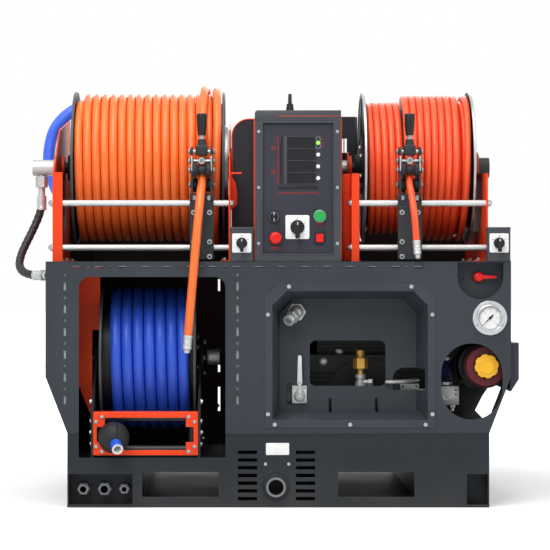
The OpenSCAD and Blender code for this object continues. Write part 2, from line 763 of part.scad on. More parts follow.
// Reel: a drum between two end plates on a shaft
module reel(x0, x1, drum_r, plate_r, shaft_x0, shaft_x1, yd, z, shaft) {
    rod_x(x0, x0 + flange_t, yd, z, plate_r);
    rod_x(x1, x1 + flange_t, yd, z, plate_r);
    rod_x(x0, x1 + flange_t, yd, z, drum_r);
    rod_x(shaft_x0, shaft_x1, yd, z, shaft);
}
module left_reel() color("#24272a")
    reel(left_flange_x, left_inner_flange_x, drum_r(left_wind_r, left_hose_d), flange_r,
         left_frame_x + 1, left_inner_frame_x + frame_t + motor_engage, reel_yd, reel_z, shaft_r);
module right_reel() color("#24272a")
    reel(right_inner_flange_x, right_flange_x, drum_r(right_wind_r, right_hose_d), flange_r,
         right_inner_frame_x + 1, right_frame_x + frame_t + motor_engage, reel_yd, reel_z, shaft_r);
module supply_reel() color("#24272a")
    reel(supply_flange_x, supply_end_flange_x, drum_r(supply_wind_r, supply_hose_d),
         supply_flange_r, arm_left - arm_t, arm_right + arm_t, supply_yd, supply_z, shaft_r);
module left_hose_coil() color("#f06a28") winding(left_spec);
module right_hose_coil() color("#f2502a") winding(right_spec);
module supply_hose_coil() color("#2f55c8") winding(supply_spec);

// Gearmotors on the reels' shafts
module reel_motors() color("#2b2e32") {
    left_x = left_inner_frame_x + frame_t;
    right_x = right_frame_x + frame_t;
    difference() {
        union() {
            rod_x(left_x, left_x + 60, reel_yd, reel_z, left_motor_r);
            rod_x(left_x + 60, left_x + 140, reel_yd, reel_z, 40);
        }
        rod_x(left_x - 1, left_x + motor_engage + 3, reel_yd, reel_z, shaft_r + run);
    }
    difference() {
        union() {
            rod_x(right_x, right_x + 30, reel_yd, reel_z, 27);
            box(right_x, right_x + 28, reel_yd, reel_yd + 150, reel_z - 24, reel_z + 24);
        }
        rod_x(right_x - 1, right_x + motor_engage + 3, reel_yd, reel_z, shaft_r + run);
    }
}
// Rotary unions that feed water into the three reels, with their rigid pipes
module swivels() color("#c9ccce") {
    pipe_r = 9;
    elbow = whip_route[0];
    nut = left_frame_x - 20;
    translate([nut, front + reel_yd, reel_z]) rotate([0, 90, 0]) cylinder(r = 22, h = 20, $fn = 6);
    rod_x(elbow[0] - 23, nut, reel_yd, reel_z, 21);
    rod_z(elbow[0], reel_yd, elbow[2], reel_z, pipe_r);
    rod_z(elbow[0], reel_yd, elbow[2], elbow[2] + 24, whip_d / 2 + 2);
    rod_x(right_inner_frame_x - 18, right_inner_frame_x, reel_yd, reel_z, 20);
    rod_z(right_inner_frame_x - pipe_r, reel_yd, deck_z, reel_z, pipe_r - 0.5);
    union_x = arm_right + arm_t;
    rod_x(union_x, union_x + 45, supply_yd, supply_z, 18);
    rod_y(union_x + 34, supply_yd, body_d - sheet, supply_z, pipe_r);
}

// Hose guide: carriage on the rails, yoke and the pins of its rollers and lever
module guide(x, hose_d, end) {
    upper = roller_at(end, hose_d, 1);
    lower = roller_at(end, hose_d, -1);
    block = 16;
    plate = 6;
    plate_yd = rail_yd - 14 - plate;
    half = guide_w / 2;
    difference() {
        union() {
            box(x - half, x + half, plate_yd, plate_yd + plate, deck_z + 5, rail_zs[1] - 8);
            for (z = rail_zs)
                box(x - half, x + half, plate_yd + plate, rail_yd + 14, z - block, z + block);
            for (side = [-1, 1]) {
                inner = x + side * (yoke_in + yoke_t / 2);
                sheet_x(inner - yoke_t / 2, inner + yoke_t / 2)
                    round_rect(nip_yd - 22, nip_yd + 24, rail_zs[1] + block - 10, lever_z + 12, 9);
            }
            for (at = [upper, lower, [lever_yd, lever_z], [spacer_yd, spacer_z]]) {
                rod_x(x - yoke_out, x + yoke_out, at[0], at[1], pin_r);
                for (side = [-1, 1]) {
                    face = x + side * (yoke_out + head_t / 2);
                    rod_x(face - head_t / 2, face + head_t / 2, at[0], at[1], head_r);
                }
            }
            for (rise = guide_screw_rise) for (side = [-1, 1])
                rod_y(x + side * guide_screw_x, plate_yd - head_t, plate_yd, deck_z + rise, guide_screw_r);
        }
        for (z = rail_zs) rod_x(x - half - 1, x + half + 1, rail_yd, z, rail_r + run);
    }
}
module left_guide() color("#26292c") guide(left_guide_x, left_hose_d, left_end);
module right_guide() color("#26292c") guide(right_guide_x, right_hose_d, right_end);
// Spool roller that turns on a pin of the guide
module spool(x, at) {
    half = yoke_in - 0.5;
    translate([x, front + at[0], at[1]]) rotate([0, 90, 0]) rotate_extrude()
        polygon([
            [pin_r + run, -half], [spool_r, -half], [spool_r, -14], [neck_r, -6],
            [neck_r, 6], [spool_r, 14], [spool_r, half], [pin_r + run, half]
        ]);
}
module left_upper_roller() color("#c9ccce") spool(left_guide_x, roller_at(left_end, left_hose_d, 1));
module left_lower_roller() color("#c9ccce") spool(left_guide_x, roller_at(left_end, left_hose_d, -1));
module right_upper_roller() color("#c9ccce") spool(right_guide_x, roller_at(right_end, right_hose_d, 1));
module right_lower_roller() color("#c9ccce") spool(right_guide_x, roller_at(right_end, right_hose_d, -1));
// Clamp lever: block on the guide's upper pin, neck and grip
module guide_lever(x) {
    grip_z = lever_z + 40;
    difference() {
        union() {
            box(x - 15, x + 15, lever_yd - 12, lever_yd + 12, lever_z - 10, lever_z + 24);
            rod_z(x, lever_yd, lever_z + 24, grip_z, 6);
            rod_z(x, lever_yd, grip_z, grip_z + 56, grip_r);
        }
        rod_x(x - 16, x + 16, lever_yd, lever_z, pin_r + run);
    }
}
module left_guide_lever() color("#1c1e20") guide_lever(left_guide_x);
module right_guide_lever() color("#1c1e20") guide_lever(right_guide_x);
// Free end of a hose, from the winding through the guide, and its steel end
module hose_tail(end, route, d) {
    last = route[len(route) - 1];
    way = last - route[len(route) - 2];
    start = end + cord_gap * unit(route[0] - end);
    sweep(concat([start], route), d, [1, 0, 0]);
    translate(last + [0, front, 0]) along(way) translate([0, 0, cord_gap])
        cylinder(r = d / 2 + ferrule_t, h = ferrule_l);
}
module left_hose_tail() color("#f06a28") hose_tail(left_end, left_tail_route, left_hose_d);
module right_hose_tail() color("#f2502a") hose_tail(right_end, right_tail_route, right_hose_d);

// Control box with its antenna, and the two boxes of the reel switches
module control_box() color("#2f3338") {
    x1 = box_left + box_w;
    antenna = [box_x - 19, box_yd + 60];
    difference() {
        sheet_y(box_yd, box_yd + box_d) polygon([
            [box_left, deck_z], [box_left, box_top - box_cut], [box_left + box_cut, box_top],
            [x1 - box_cut, box_top], [x1, box_top - box_cut], [x1, deck_z]
        ]);
        box(box_left + fascia_rim, x1 - fascia_rim, box_yd - 1, fascia_yd + 1,
            deck_z + fascia_rim, box_top - fascia_rim - box_cut);
        box(box_left + box_wall, x1 - box_wall, fascia_yd, box_yd + box_d - box_wall,
            deck_z + box_wall, box_top - box_cut - box_wall);
    }
    rod_z(antenna[0], antenna[1], box_top, box_top + 20, 8);
    rod_z(antenna[0], antenna[1], box_top + 20, box_top + 45, 4);
    for (x = [left_switch_x, right_switch_x]) difference() {
        box(x - switch_box_w / 2, x + switch_box_w / 2, box_yd, frame_yd, deck_z, deck_z + switch_box_h);
        rod_y(x, box_yd - 1, box_yd + 16, switch_z, cam_shaft_r + run);
    }
}
// Recessed panel with the barrel of the key switch, the collars of the buttons and the rocker's frame
module control_panel() color("#1d2023") {
    edge = box_wall + clear;
    difference() {
        union() {
            box(box_left + edge, box_left + box_w - edge, fascia_yd, fascia_yd + fascia_t,
                deck_z + edge, box_top - box_cut - edge);
            rod_y(key_at[0], fascia_yd - barrel_l, fascia_yd, key_at[1], 11);
            rod_y(stop_at[0], fascia_yd - collar_l, fascia_yd, stop_at[1], 17);
            rod_y(start_at[0], fascia_yd - collar_l, fascia_yd, start_at[1], 15.5);
            box(rocker_at[0] - rocker_w / 2 - 2, rocker_at[0] + rocker_w / 2 + 2, fascia_yd - 4, fascia_yd,
                rocker_at[1] - 13, rocker_at[1] + 13);
        }
        rod_y(key_at[0], fascia_yd - barrel_l - 1, fascia_yd - 2, key_at[1], key_r + run);
        rod_y(stop_at[0], fascia_yd - collar_l - 1, fascia_yd + fascia_t + 1, stop_at[1], stop_stem_r + run);
        rod_y(start_at[0], fascia_yd - collar_l - 1, fascia_yd + fascia_t + 1, start_at[1], start_stem_r + run);
        box(rocker_at[0] - rocker_w / 2 - clear, rocker_at[0] + rocker_w / 2 + clear,
            fascia_yd - 5, fascia_yd + fascia_t + 1,
            rocker_at[1] - 11.3, rocker_at[1] + 11.3);
        rod_x(rocker_at[0] - rocker_w / 2 - 1.5, rocker_at[0] + rocker_w / 2 + 1.5,
              fascia_yd - 1, rocker_at[1], rocker_pin_r + run);
        rod_y(main_switch[0], fascia_yd - 1, fascia_yd + fascia_t + 1, main_switch[1], cam_shaft_r + run);
    }
}
// Four display windows and the lamps beside them
module display_module() color("#101214") {
    for (i = [0 : 3]) {
        z = deck_z + 297 - 29.5 * i;
        box(box_x - 26.5, box_x + 43.5, fascia_yd - 1.5, fascia_yd, z - 13.5, z + 13.5);
        rod_y(box_x + 50.5, fascia_yd - 3, fascia_yd, z, 4);
    }
}
// Blank plates: three under the cam switches, one on the base
module switch_plates() color("#f0f0f0") {
    difference() {
        box(main_switch[0] - main_plate / 2, main_switch[0] + main_plate / 2, fascia_yd - plate_t, fascia_yd,
            main_switch[1] - main_plate / 2, main_switch[1] + main_plate / 2);
        rod_y(main_switch[0], 0, fascia_yd + 1, main_switch[1], cam_shaft_r + run);
    }
    for (x = [left_switch_x, right_switch_x]) difference() {
        box(x - reel_plate / 2, x + reel_plate / 2, box_yd - plate_t, box_yd,
            switch_z - reel_plate / 2, switch_z + reel_plate / 2);
        rod_y(x, 0, box_yd + 1, switch_z, cam_shaft_r + run);
    }
    box(inlet_x - 25, inlet_x + 33, -1, 0, inlet_z + 80, inlet_z + 110);
}
// Cam switch handle: shaft through the plate, round skirt and a grip that points down at rest
module cam_knob(x, z, yd, r, reach) {
    face = yd - plate_t - clear;
    rod_y(x, face - 1, yd + fascia_t + 8, z, cam_shaft_r);
    rod_y(x, face - 7, face, z, r);
    box(x - r * 0.34, x + r * 0.34, face - 23, face - 6, z - reach, z + r * 0.8);
}
module main_switch_knob() color("#1c1e20") 
    cam_knob(main_switch[0], main_switch[1], fascia_yd, 17, main_plate / 2 - 1);
module left_switch_knob() color("#1c1e20") 
    cam_knob(left_switch_x, switch_z, box_yd, 13, reel_plate / 2 - 1.5);
module right_switch_knob() color("#1c1e20") 
    cam_knob(right_switch_x, switch_z, box_yd, 13, reel_plate / 2 - 1.5);
// Key in its switch
module ignition_key() color("#c9ccce") {
    face = fascia_yd - barrel_l - clear;
    rod_y(key_at[0], face - 12, fascia_yd - 2.5, key_at[1], key_r);
    box(key_at[0] - 1.5, key_at[0] + 1.5, face - 30, face - 10, key_at[1] - 11, key_at[1] + 11);
}
// Emergency stop and start button: a stem in its collar and a head that stands off by the travel
module push_button(at, stem_r, head_r, head_l) {
    face = fascia_yd - collar_l - stop_travel - clear;
    rod_y(at[0], face - 1, fascia_yd + fascia_t, at[1], stem_r);
    rod_y(at[0], face - head_l, face, at[1], head_r);
}
module stop_button() color("#e02020") push_button(stop_at, stop_stem_r, 15, 10);
module start_button() color("#2eaa50") push_button(start_at, start_stem_r, 14, 4);
// Rocker on a pin in its frame, with two sloping faces
module rocker() color("#e02020") {
    sheet_x(rocker_at[0] - rocker_w / 2, rocker_at[0] + rocker_w / 2) polygon([
        [fascia_yd - 1, rocker_at[1] - 9], [fascia_yd - 6, rocker_at[1] - 10.4],
        [fascia_yd - 5, rocker_at[1]], [fascia_yd - 6, rocker_at[1] + 10.4],
        [fascia_yd - 1, rocker_at[1] + 9], [fascia_yd + 1.5, rocker_at[1]]
    ]);
    rod_x(rocker_at[0] - rocker_w / 2 - 1.2, rocker_at[0] + rocker_w / 2 + 1.2,
          fascia_yd - 1, rocker_at[1], rocker_pin_r);
}

// Panel gauge: flange and bezel in front of the panel, case behind it, dial inside
module pressure_gauge() color("#d5d7d8") {
    x = gauge_at[0];
    z = gauge_at[1];
    bezel = gauge_dial_r + 4;
    difference() {
        union() {
            rod_y(x, -3, 0, z, gauge_flange_r);
            rod_y(x, -13, 0, z, bezel);
            rod_y(x, 0, 30, z, bezel - clear);
            rod_y(x, 30, 50, z, 8);
        }
        rod_y(x, -14, -5, z, gauge_dial_r);
        rod_y(x, -6, 2, z, needle_r + run);
    }
}
// Needle on its arbor: long thin pointer and a short thick tail
module gauge_needle() color("#141414") {
    translate([gauge_at[0], 0, gauge_at[1]]) rotate([0, -45, 0]) {
        box(5 - gauge_dial_r, 0, -8, -7, -0.8, 0.8);
        box(0, 10, -8, -7, -1.8, 1.8);
        rod_y(0, -8, 1, 0, needle_r);
    }
}
// Valves and the pressure outlet: bodies behind the sheet, stems and seats in front
module valve_bodies() color("#c9ccce") {
    pocket = valve_recess_d;
    back = tray_d;
    difference() {
        union() {
            rod_y(red_at[0], pocket + sheet, pocket + 60, red_at[1], 20);
            rod_y(red_at[0], pocket - 6, pocket + sheet, red_at[1], 7.5);
        }
        rod_y(red_at[0], pocket - 7, pocket + 12, red_at[1], valve_shaft_r + run);
    }
    difference() {
        union() {
            box(lever_at[0] - 19, lever_at[0] + 18, back - 3, back, lever_at[1] - 18, lever_at[1] + 25);
            rod_y(lever_at[0], back - 14, back + 2, lever_at[1], 7);
            rod_y(lever_at[0], back + 2, back + 50, lever_at[1], 18);
        }
        rod_y(lever_at[0], back - 15, back + 12, lever_at[1], valve_shaft_r + run);
    }
    rod_y(outlet_at[0], back - 20, back + 40, outlet_at[1], 17.5);
    rod_y(outlet_at[0], back + 2, back + 12, outlet_at[1], 24);
    translate([outlet_at[0], front + back - 20, outlet_at[1]]) {
        sphere(17.5);
        along([-0.45, -0.75, -0.45]) difference() {
            cylinder(r = 13.5, h = 48);
            translate([0, 0, 36]) cylinder(r = 8, h = 13);
        }
    }
}
// Red handle of the upper valve
module red_lever() color("#e02020") {
    face = valve_recess_d - 6 - clear;
    rod_y(red_at[0], face - 8, face + 16, red_at[1], valve_shaft_r);
    rod_y(red_at[0], face - 12, face, red_at[1], 13);
    box(red_at[0], red_at[0] + 46, face - 10, face - 2, red_at[1] - 6, red_at[1] + 6);
}
// Steel handle of the outlet valve
module outlet_lever() color("#c9ccce") {
    face = tray_d - 14 - clear;
    rod_y(lever_at[0], face - 4, face + 22, lever_at[1], valve_shaft_r);
    rod_y(lever_at[0], face - 8, face, lever_at[1], 10);
    box(lever_at[0] - 6, lever_at[0] + 6, face - 6, face - 2, lever_at[1], lever_at[1] + 104);
}

// Hose connections on the base, the side and the deck
module connectors() color("#b9bcbe") {
    difference() {
        union() {
            rod_y(inlet_x, -6, 0, inlet_z, inlet_r + 12.5);
            rod_y(inlet_x, -12, 60, inlet_z, inlet_r + 5.2);
        }
        rod_y(inlet_x, -13, 61, inlet_z, inlet_r);
    }
    for (i = [0 : 2]) difference() {
        union() {
            translate([bulkhead_x[i], front + notch_d, bulkhead_z]) rotate([90, 0, 0])
                cylinder(r = bulkhead_r[i] + 8, h = 18, $fn = 6);
            rod_y(bulkhead_x[i], notch_d - 40, notch_d + 40, bulkhead_z, bulkhead_r[i] + 2.8);
        }
        rod_y(bulkhead_x[i], notch_d - 41, notch_d + 30, bulkhead_z, bulkhead_r[i]);
    }
    whip = whip_route[len(whip_route) - 1];
    rod_x(whip[0], left, whip[1], whip[2], whip_d / 2 + 3);
    rod_x(left, left + sheet + 20, whip[1], whip[2], 8.7);
    for (end = [feed_route[0], feed_route[len(feed_route) - 1]])
        rod_z(end[0], feed_yd, deck_z, end[1], feed_d / 2 + 4);
}
module whip_hose() color("#1c1e20") sweep(whip_route, whip_d, [1, 0, 1]);
module feed_hose() color("#2f6fe0")
    sweep([for (p = feed_route) [p[0], feed_yd, p[1]]], feed_d, [0, 1, 0]);

// Engine on the right fork tube, with its throttle body
module engine() color("#4a4e52") {
    head_z = engine_top + 60;
    box(engine_x[0], engine_x[1], engine_yd[0], engine_yd[1], fork_top, engine_top);
    box(engine_x[0] + 50, engine_x[1] - 40, engine_yd[0] + 50, engine_yd[1] - 20, engine_top, head_z);
    rod_y(240, engine_yd[0] - 10, engine_yd[0], 250, 110);
    rod_z(300, 540, head_z, head_z + 70, 70);
    box(throttle_x[0], throttle_x[1], throttle_yd[0], throttle_yd[1], throttle_z[0], throttle_z[1]);
    box(throttle_x[0], throttle_x[0] + 23, throttle_yd[1], engine_yd[0], throttle_z[0] + 11, throttle_z[1] - 8);
}
// High-pressure pump with its head, discharge tube and regulator block
module pump() color("#6a6e72") {
    block_x = relief_at[0] + 84;
    box(pump_x[0], pump_x[1], pump_yd[0], pump_yd[1], fork_top, pump_top);
    box(pump_x[0] + 40, pump_x[1] - 70, pump_yd[0] - 10, pump_yd[1] + 20, fork_top, pump_top - 32);
    rod_z(relief_at[0], relief_at[1], pump_top, relief_z, 14);
    rod_x(relief_at[0], block_x, relief_at[1], pump_top + 14, 8);
    box(block_x, block_x + 66, relief_at[1] - 15, relief_at[1] + 15, pump_top, pump_top + 38);
}
// Relief valve on the pump: hexagon body, spring housing and cap
module relief_valve() color("#d0a860") {
    body_l = 40;
    cap_z = relief_z + body_l + 36;
    translate([relief_at[0], front + relief_at[1], relief_z]) cylinder(r = 18, h = body_l, $fn = 6);
    rod_z(relief_at[0], relief_at[1], relief_z + body_l, cap_z, 12);
    rod_z(relief_at[0], relief_at[1], cap_z, cap_z + 17, 15);
}
// Air filter: canister, its ring and outlet, on an arm from the engine
module air_filter() color("#1c1e20") {
    x = filter_at[0];
    z = filter_at[1];
    difference() {
        union() {
            rod_y(x, 40, 90, z, filter_r);
            rod_y(x - filter_body_in, 75, 345, z, filter_body_r);
            rod_y(x, 28, 40, z, 49);
            box(engine_x[1], x, engine_yd[0], engine_yd[0] + 20, z - 12, z + 12);
            box(throttle_x[0], x - 30, throttle_yd[0], throttle_yd[1], intake_top, intake_top + 24);
        }
        rod_y(x, 27, 36, z, cap_r + 4 + clear);
    }
}
// Twist cap of the air filter, with six lobes
module filter_cap() color("#f8c840") {
    x = filter_at[0];
    z = filter_at[1];
    rod_y(x, 14, 36 - clear, z, cap_r);
    for (i = [0 : 5])
        rod_y(x + (cap_r - 3) * cos(60 * i), 14, 30, z + (cap_r - 3) * sin(60 * i), 6.5);
}
// Ribbed hose between the throttle body and the filter's outlet
module intake_hose() color("#243a78") {
    z0 = throttle_z[1];
    z1 = intake_top;
    ribs = 9;
    rib = (z1 - z0) / ribs;
    outer = [for (i = [0 : ribs - 1]) each [[10.5, z0 + i * rib], [13, z0 + (i + 0.5) * rib]]];
    translate([intake_at[0], front + intake_at[1], 0]) rotate_extrude()
        polygon(concat([[8, z0]], outer, [[10.5, z1], [8, z1]]));
}

// Side arms of the supply reel, on the bay's shelf
module reel_bracket() color("#1c1e20") {
    profile = [
        [arm_front, bay_floor], [arm_front, lead_z + fairlead_h], [supply_yd - 60, supply_z + 20],
        [supply_yd + 60, supply_z + 20], [supply_yd + 90, bay_floor]
    ];
    for (x = [arm_left - arm_t, arm_right]) difference() {
        sheet_x(x, x + arm_t) {
            polygon(profile);
            translate(supply_axis) circle(52);
        }
        rod_x(x - 1, x + arm_t + 1, supply_yd, supply_z, shaft_r + run);
    }
}
// Fairlead: a sleeve between the arms, with holes for the rollers' pins
module fairlead_frame() color("#ee5530") {
    z1 = lead_z + fairlead_h;
    back = lead_yd + fairlead_d;
    difference() {
        box(arm_left, arm_right, lead_yd, back, lead_z, z1);
        box(arm_left + lead_t, arm_right - lead_t, lead_yd - 1, back + 1, lead_z + lead_t, z1 - lead_t);
        for (z = [lead_z + lead_side, z1 - lead_side])
            rod_x(arm_left - 1, arm_right + 1, lead_front, z, pin_r + run);
        for (x = [arm_left + lead_side, arm_right - lead_side])
            rod_z(x, lead_back, lead_z - 1, z1 + 1, pin_r + run);
    }
}
module lead_roller_x(z) {
    rod_x(arm_left + lead_t + clear, arm_right - lead_t - clear, lead_front, z, lead_roller_r);
    rod_x(arm_left + clear, arm_right - clear, lead_front, z, pin_r);
}
module lead_roller_z(x) {
    z1 = lead_z + fairlead_h;
    rod_z(x, lead_back, lead_z + lead_t + clear, z1 - lead_t - clear, lead_roller_r);
    rod_z(x, lead_back, lead_z, z1, pin_r);
}
module lead_roller_top() color("#2a2d30") lead_roller_x(lead_z + fairlead_h - lead_side);
module lead_roller_bottom() color("#2a2d30") lead_roller_x(lead_z + lead_side);
module lead_roller_left() color("#2a2d30") lead_roller_z(arm_left + lead_side);
module lead_roller_right() color("#2a2d30") lead_roller_z(arm_right - lead_side);
// Free end of the supply hose, from the winding through the fairlead
module supply_hose_end() color("#2f55c8") {
    start = supply_end + cord_gap * unit(supply_route[0] - supply_end);
    sweep(concat([start], supply_route), supply_hose_d, [1, 0, 0]);
}
// Ball clamped on the hose in front of the fairlead
module hose_stop() color("#141618") {
    way = supply_route[3] - supply_route[2];
    translate(supply_route[2] + stop_along * way + [0, front, 0]) along(way) difference() {
        sphere(stop_r);
        translate([0, 0, -stop_r - 1]) cylinder(r = supply_hose_d / 2 + clear, h = 2 * stop_r + 2);
    }
}

// Cap head that stands on a face turned to the front
module cap_screw(x, yd, z, r)
    rod_y(x, yd - 3, yd, z, r);
// Visible screws of the body, the tray, the control panel, the gauge and the fairlead
module screws() color("#b9bcbe") {
    tray_l = tray_x - tray_w / 2 - 9;
    tray_r = tray_x + tray_w / 2 + 9;
    for (x = [tray_l, tray_r]) for (z = [tray_z + 17, tray_z + 266]) cap_screw(x, -2, z, 5);
    for (x = [tray_l + 17, tray_x, tray_r - 17]) cap_screw(x, -2, tray_z - 9, 5);
    for (x = [tray_x - 153, tray_x + 153]) cap_screw(x, -2, tray_z + tray_h + 9, 5);
    for (x = [box_left + 9, box_left + box_w - 9]) for (z = [45, 185, 325])
        cap_screw(x, box_yd, deck_z + z, 4);
    for (a = [90, 210, 330])
        cap_screw(gauge_at[0] + 37 * cos(a), -3, gauge_at[1] + 37 * sin(a), 3);
    for (x = [inlet_x - 26, inlet_x + 32]) cap_screw(x, 0, 108.5, 4);
    for (z = [lead_z + 25, lead_z + fairlead_h - 25]) {
        rod_x(arm_left - arm_t - 4, arm_left - arm_t, lead_back + 4, z, 6);
        rod_x(arm_right + arm_t, arm_right + arm_t + 4, lead_back + 4, z, 6);
    }
}

base_tub();
front_panel();
body_panels();
deck();
service_tray();
reel_frames();
guide_rails();
drive_housing();
control_box();
control_panel();
display_module();
switch_plates();
reel_motors();
swivels();
whip_hose();
feed_hose();
connectors();
pressure_gauge();
valve_bodies();
engine();
pump();
relief_valve();
air_filter();
intake_hose();
reel_bracket();
fairlead_frame();
supply_hose_end();
hose_stop();
screws();
left_reel();
left_hose_coil();
right_reel();
right_hose_coil();
supply_reel();
supply_hose_coil();
left_guide();
left_hose_tail();
left_guide_lever();
left_upper_roller();
left_lower_roller();
right_guide();
right_hose_tail();
right_guide_lever();
right_upper_roller();
right_lower_roller();
lead_roller_top();
lead_roller_bottom();
lead_roller_left();
lead_roller_right();
main_switch_knob();
left_switch_knob();
right_switch_knob();
ignition_key();
stop_button();
start_button();
rocker();
red_lever();
outlet_lever();
gauge_needle();
filter_cap();
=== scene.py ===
import math

import bpy
from mathutils import Matrix, Vector, geometry


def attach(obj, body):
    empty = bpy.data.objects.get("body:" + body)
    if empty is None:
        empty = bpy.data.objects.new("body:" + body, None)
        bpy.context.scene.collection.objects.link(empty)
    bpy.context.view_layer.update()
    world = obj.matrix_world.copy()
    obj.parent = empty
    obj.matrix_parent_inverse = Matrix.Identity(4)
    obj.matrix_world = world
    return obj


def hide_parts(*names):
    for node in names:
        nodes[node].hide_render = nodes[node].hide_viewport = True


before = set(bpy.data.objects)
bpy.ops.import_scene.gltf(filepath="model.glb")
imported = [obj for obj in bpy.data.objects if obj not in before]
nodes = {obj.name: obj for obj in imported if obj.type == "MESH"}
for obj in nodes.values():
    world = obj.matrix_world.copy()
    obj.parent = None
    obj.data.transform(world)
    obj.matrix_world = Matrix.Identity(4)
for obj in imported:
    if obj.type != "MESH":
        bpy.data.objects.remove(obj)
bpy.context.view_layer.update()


# The studio: a pale floor, an even white surround and four soft lamps, with the camera level with
# the middle of the machine and square to its front, a little to the left of its centre line.
half_depth = 425


def place(x, behind, z):
    """A place on the machine in metres, from millimetres: X, distance behind the front panel, height."""
    return Vector((x, behind - half_depth, z)) / 1000


scene = bpy.context.scene
scene.view_settings.view_transform = "Standard"
camera_data = bpy.data.cameras.new("camera")
camera_data.lens = 146.6
camera_data.shift_x = 0.0636
camera = bpy.data.objects.new("camera", camera_data)
camera.location = place(-95.75, -5600, 581)
camera.rotation_euler = (math.radians(90), 0, 0)
scene.collection.objects.link(camera)
scene.camera = camera


def wire(tree, node, inputs):
    """Link or set inputs of a shader node, by their places or names."""
    for socket, value in inputs.items():
        if isinstance(value, bpy.types.NodeSocket):
            tree.links.new(value, node.inputs[socket])
        else:
            node.inputs[socket].default_value = value


def add_node(tree, kind, inputs=(), **values):
    """A shader node; inputs go to its sockets in their order, and values to the socket of that name or,
    where there is none, to the node itself."""
    node = tree.nodes.new(kind)
    sockets = dict(enumerate(inputs))
    for name, value in values.items():
        label = name.replace("_", " ")
        if label in node.inputs:
            sockets[label] = value
        else:
            setattr(node, name, value)
    wire(tree, node, sockets)
    return node


def maths(tree, operation, *terms):
    """A share worked out from others and from numbers."""
    return add_node(tree, "ShaderNodeMath", terms, operation=operation).outputs[0]


def ranged(tree, value, *limits):
    """A value taken from one range to another; limits are from low, from high, to low and to high."""
    return add_node(tree, "ShaderNodeMapRange", (value, *limits)).outputs[0]


def background_share(tree):
    """1 for the rays that show the surround itself: from the camera, in gloss and through glass."""
    rays = add_node(tree, "ShaderNodeLightPath").outputs
    seen = maths(tree, "MAXIMUM", rays["Is Camera Ray"], rays["Is Glossy Ray"])
    return maths(tree, "MAXIMUM", seen, rays["Is Transmission Ray"])


world = bpy.data.worlds.new("studio")
scene.world = world
world.use_nodes = True
sky = world.node_tree
sky.nodes.clear()
light = add_node(sky, "ShaderNodeBackground", Color=(0.95, 0.97, 1.0, 1), Strength=0.38)
white = add_node(sky, "ShaderNodeBackground", Color=(1, 1, 1, 1), Strength=1.0)
surround = add_node(sky, "ShaderNodeMixShader", (background_share(sky), light.outputs[0], white.outputs[0]))
add_node(sky, "ShaderNodeOutputWorld", (surround.outputs[0],))

bpy.ops.object.select_all(action="DESELECT")
bpy.ops.mesh.primitive_plane_add(size=60, location=(0, 0, -0.0005))
floor = bpy.context.object
floor.name = "floor"
floor_paint = bpy.data.materials.new("floor_paint")
floor_paint.use_nodes = True
floor_tree = floor_paint.node_tree
floor_tree.nodes.clear()
matt = add_node(floor_tree, "ShaderNodeBsdfDiffuse", Color=(0.82, 0.82, 0.82, 1))
spot = add_node(floor_tree, "ShaderNodeTexCoord").outputs["Object"]
away = add_node(floor_tree, "ShaderNodeVectorMath", (spot,), operation="LENGTH").outputs["Value"]
fade = ranged(floor_tree, away, 0.9, 3.0, 0.3, 0.9)
lift = maths(floor_tree, "MULTIPLY", background_share(floor_tree), fade)
glow = add_node(floor_tree, "ShaderNodeEmission", Color=(1, 1, 1, 1), Strength=lift)
both = add_node(floor_tree, "ShaderNodeAddShader", (matt.outputs[0], glow.outputs[0]))
add_node(floor_tree, "ShaderNodeOutputMaterial", (both.outputs[0],))
floor.data.materials.append(floor_paint)

for lamp_name, lamp_at, lamp_size, lamp_power in (
    ("overhead_softbox", (-0.4, -1.3, 3.4), 2.6, 80),
    ("front_softbox", (-1.4, -4.0, 3.6), 2.2, 95),
    ("right_softbox", (3.6, -2.4, 2.0), 1.8, 32),
    ("rear_softbox", (0.6, 4.4, 2.8), 2.2, 60),
):
    lamp_data = bpy.data.lights.new(lamp_name, "AREA")
    lamp_data.size = lamp_size
    lamp_data.energy = lamp_power
    lamp = bpy.data.objects.new(lamp_name, lamp_data)
    lamp.location = lamp_at
    lamp.rotation_euler = (Vector((0, 0, 0.55)) - lamp.location).to_track_quat("-Z", "Y").to_euler()
    scene.collection.objects.link(lamp)


# The hoses: two braided high-pressure hoses with an orange thermoplastic cover on the deck reels, a
# blue rubber supply hose in the bay, a clear blue feed hose behind the left reel and a black whip hose
# in a spiral guard. Each is one extruded tube, with crimped steel ends.
def through(stops, steps=8):
    """A smooth line through the stops of a route, with evenly divided stretches."""
    points = []
    last = len(stops) - 1
    for i in range(last):
        before, start = stops[max(i - 1, 0)], stops[i]
        end, after = stops[i + 1], stops[min(i + 2, last)]
        for k in range(steps):
            t = k / steps
            points.append(
                0.5 * (2 * start + (end - before) * t
                       + (2 * before - 5 * start + 4 * end - after) * t * t
                       + (3 * start - before - 3 * end + after) * t ** 3)
            )
    return points + [stops[last]]


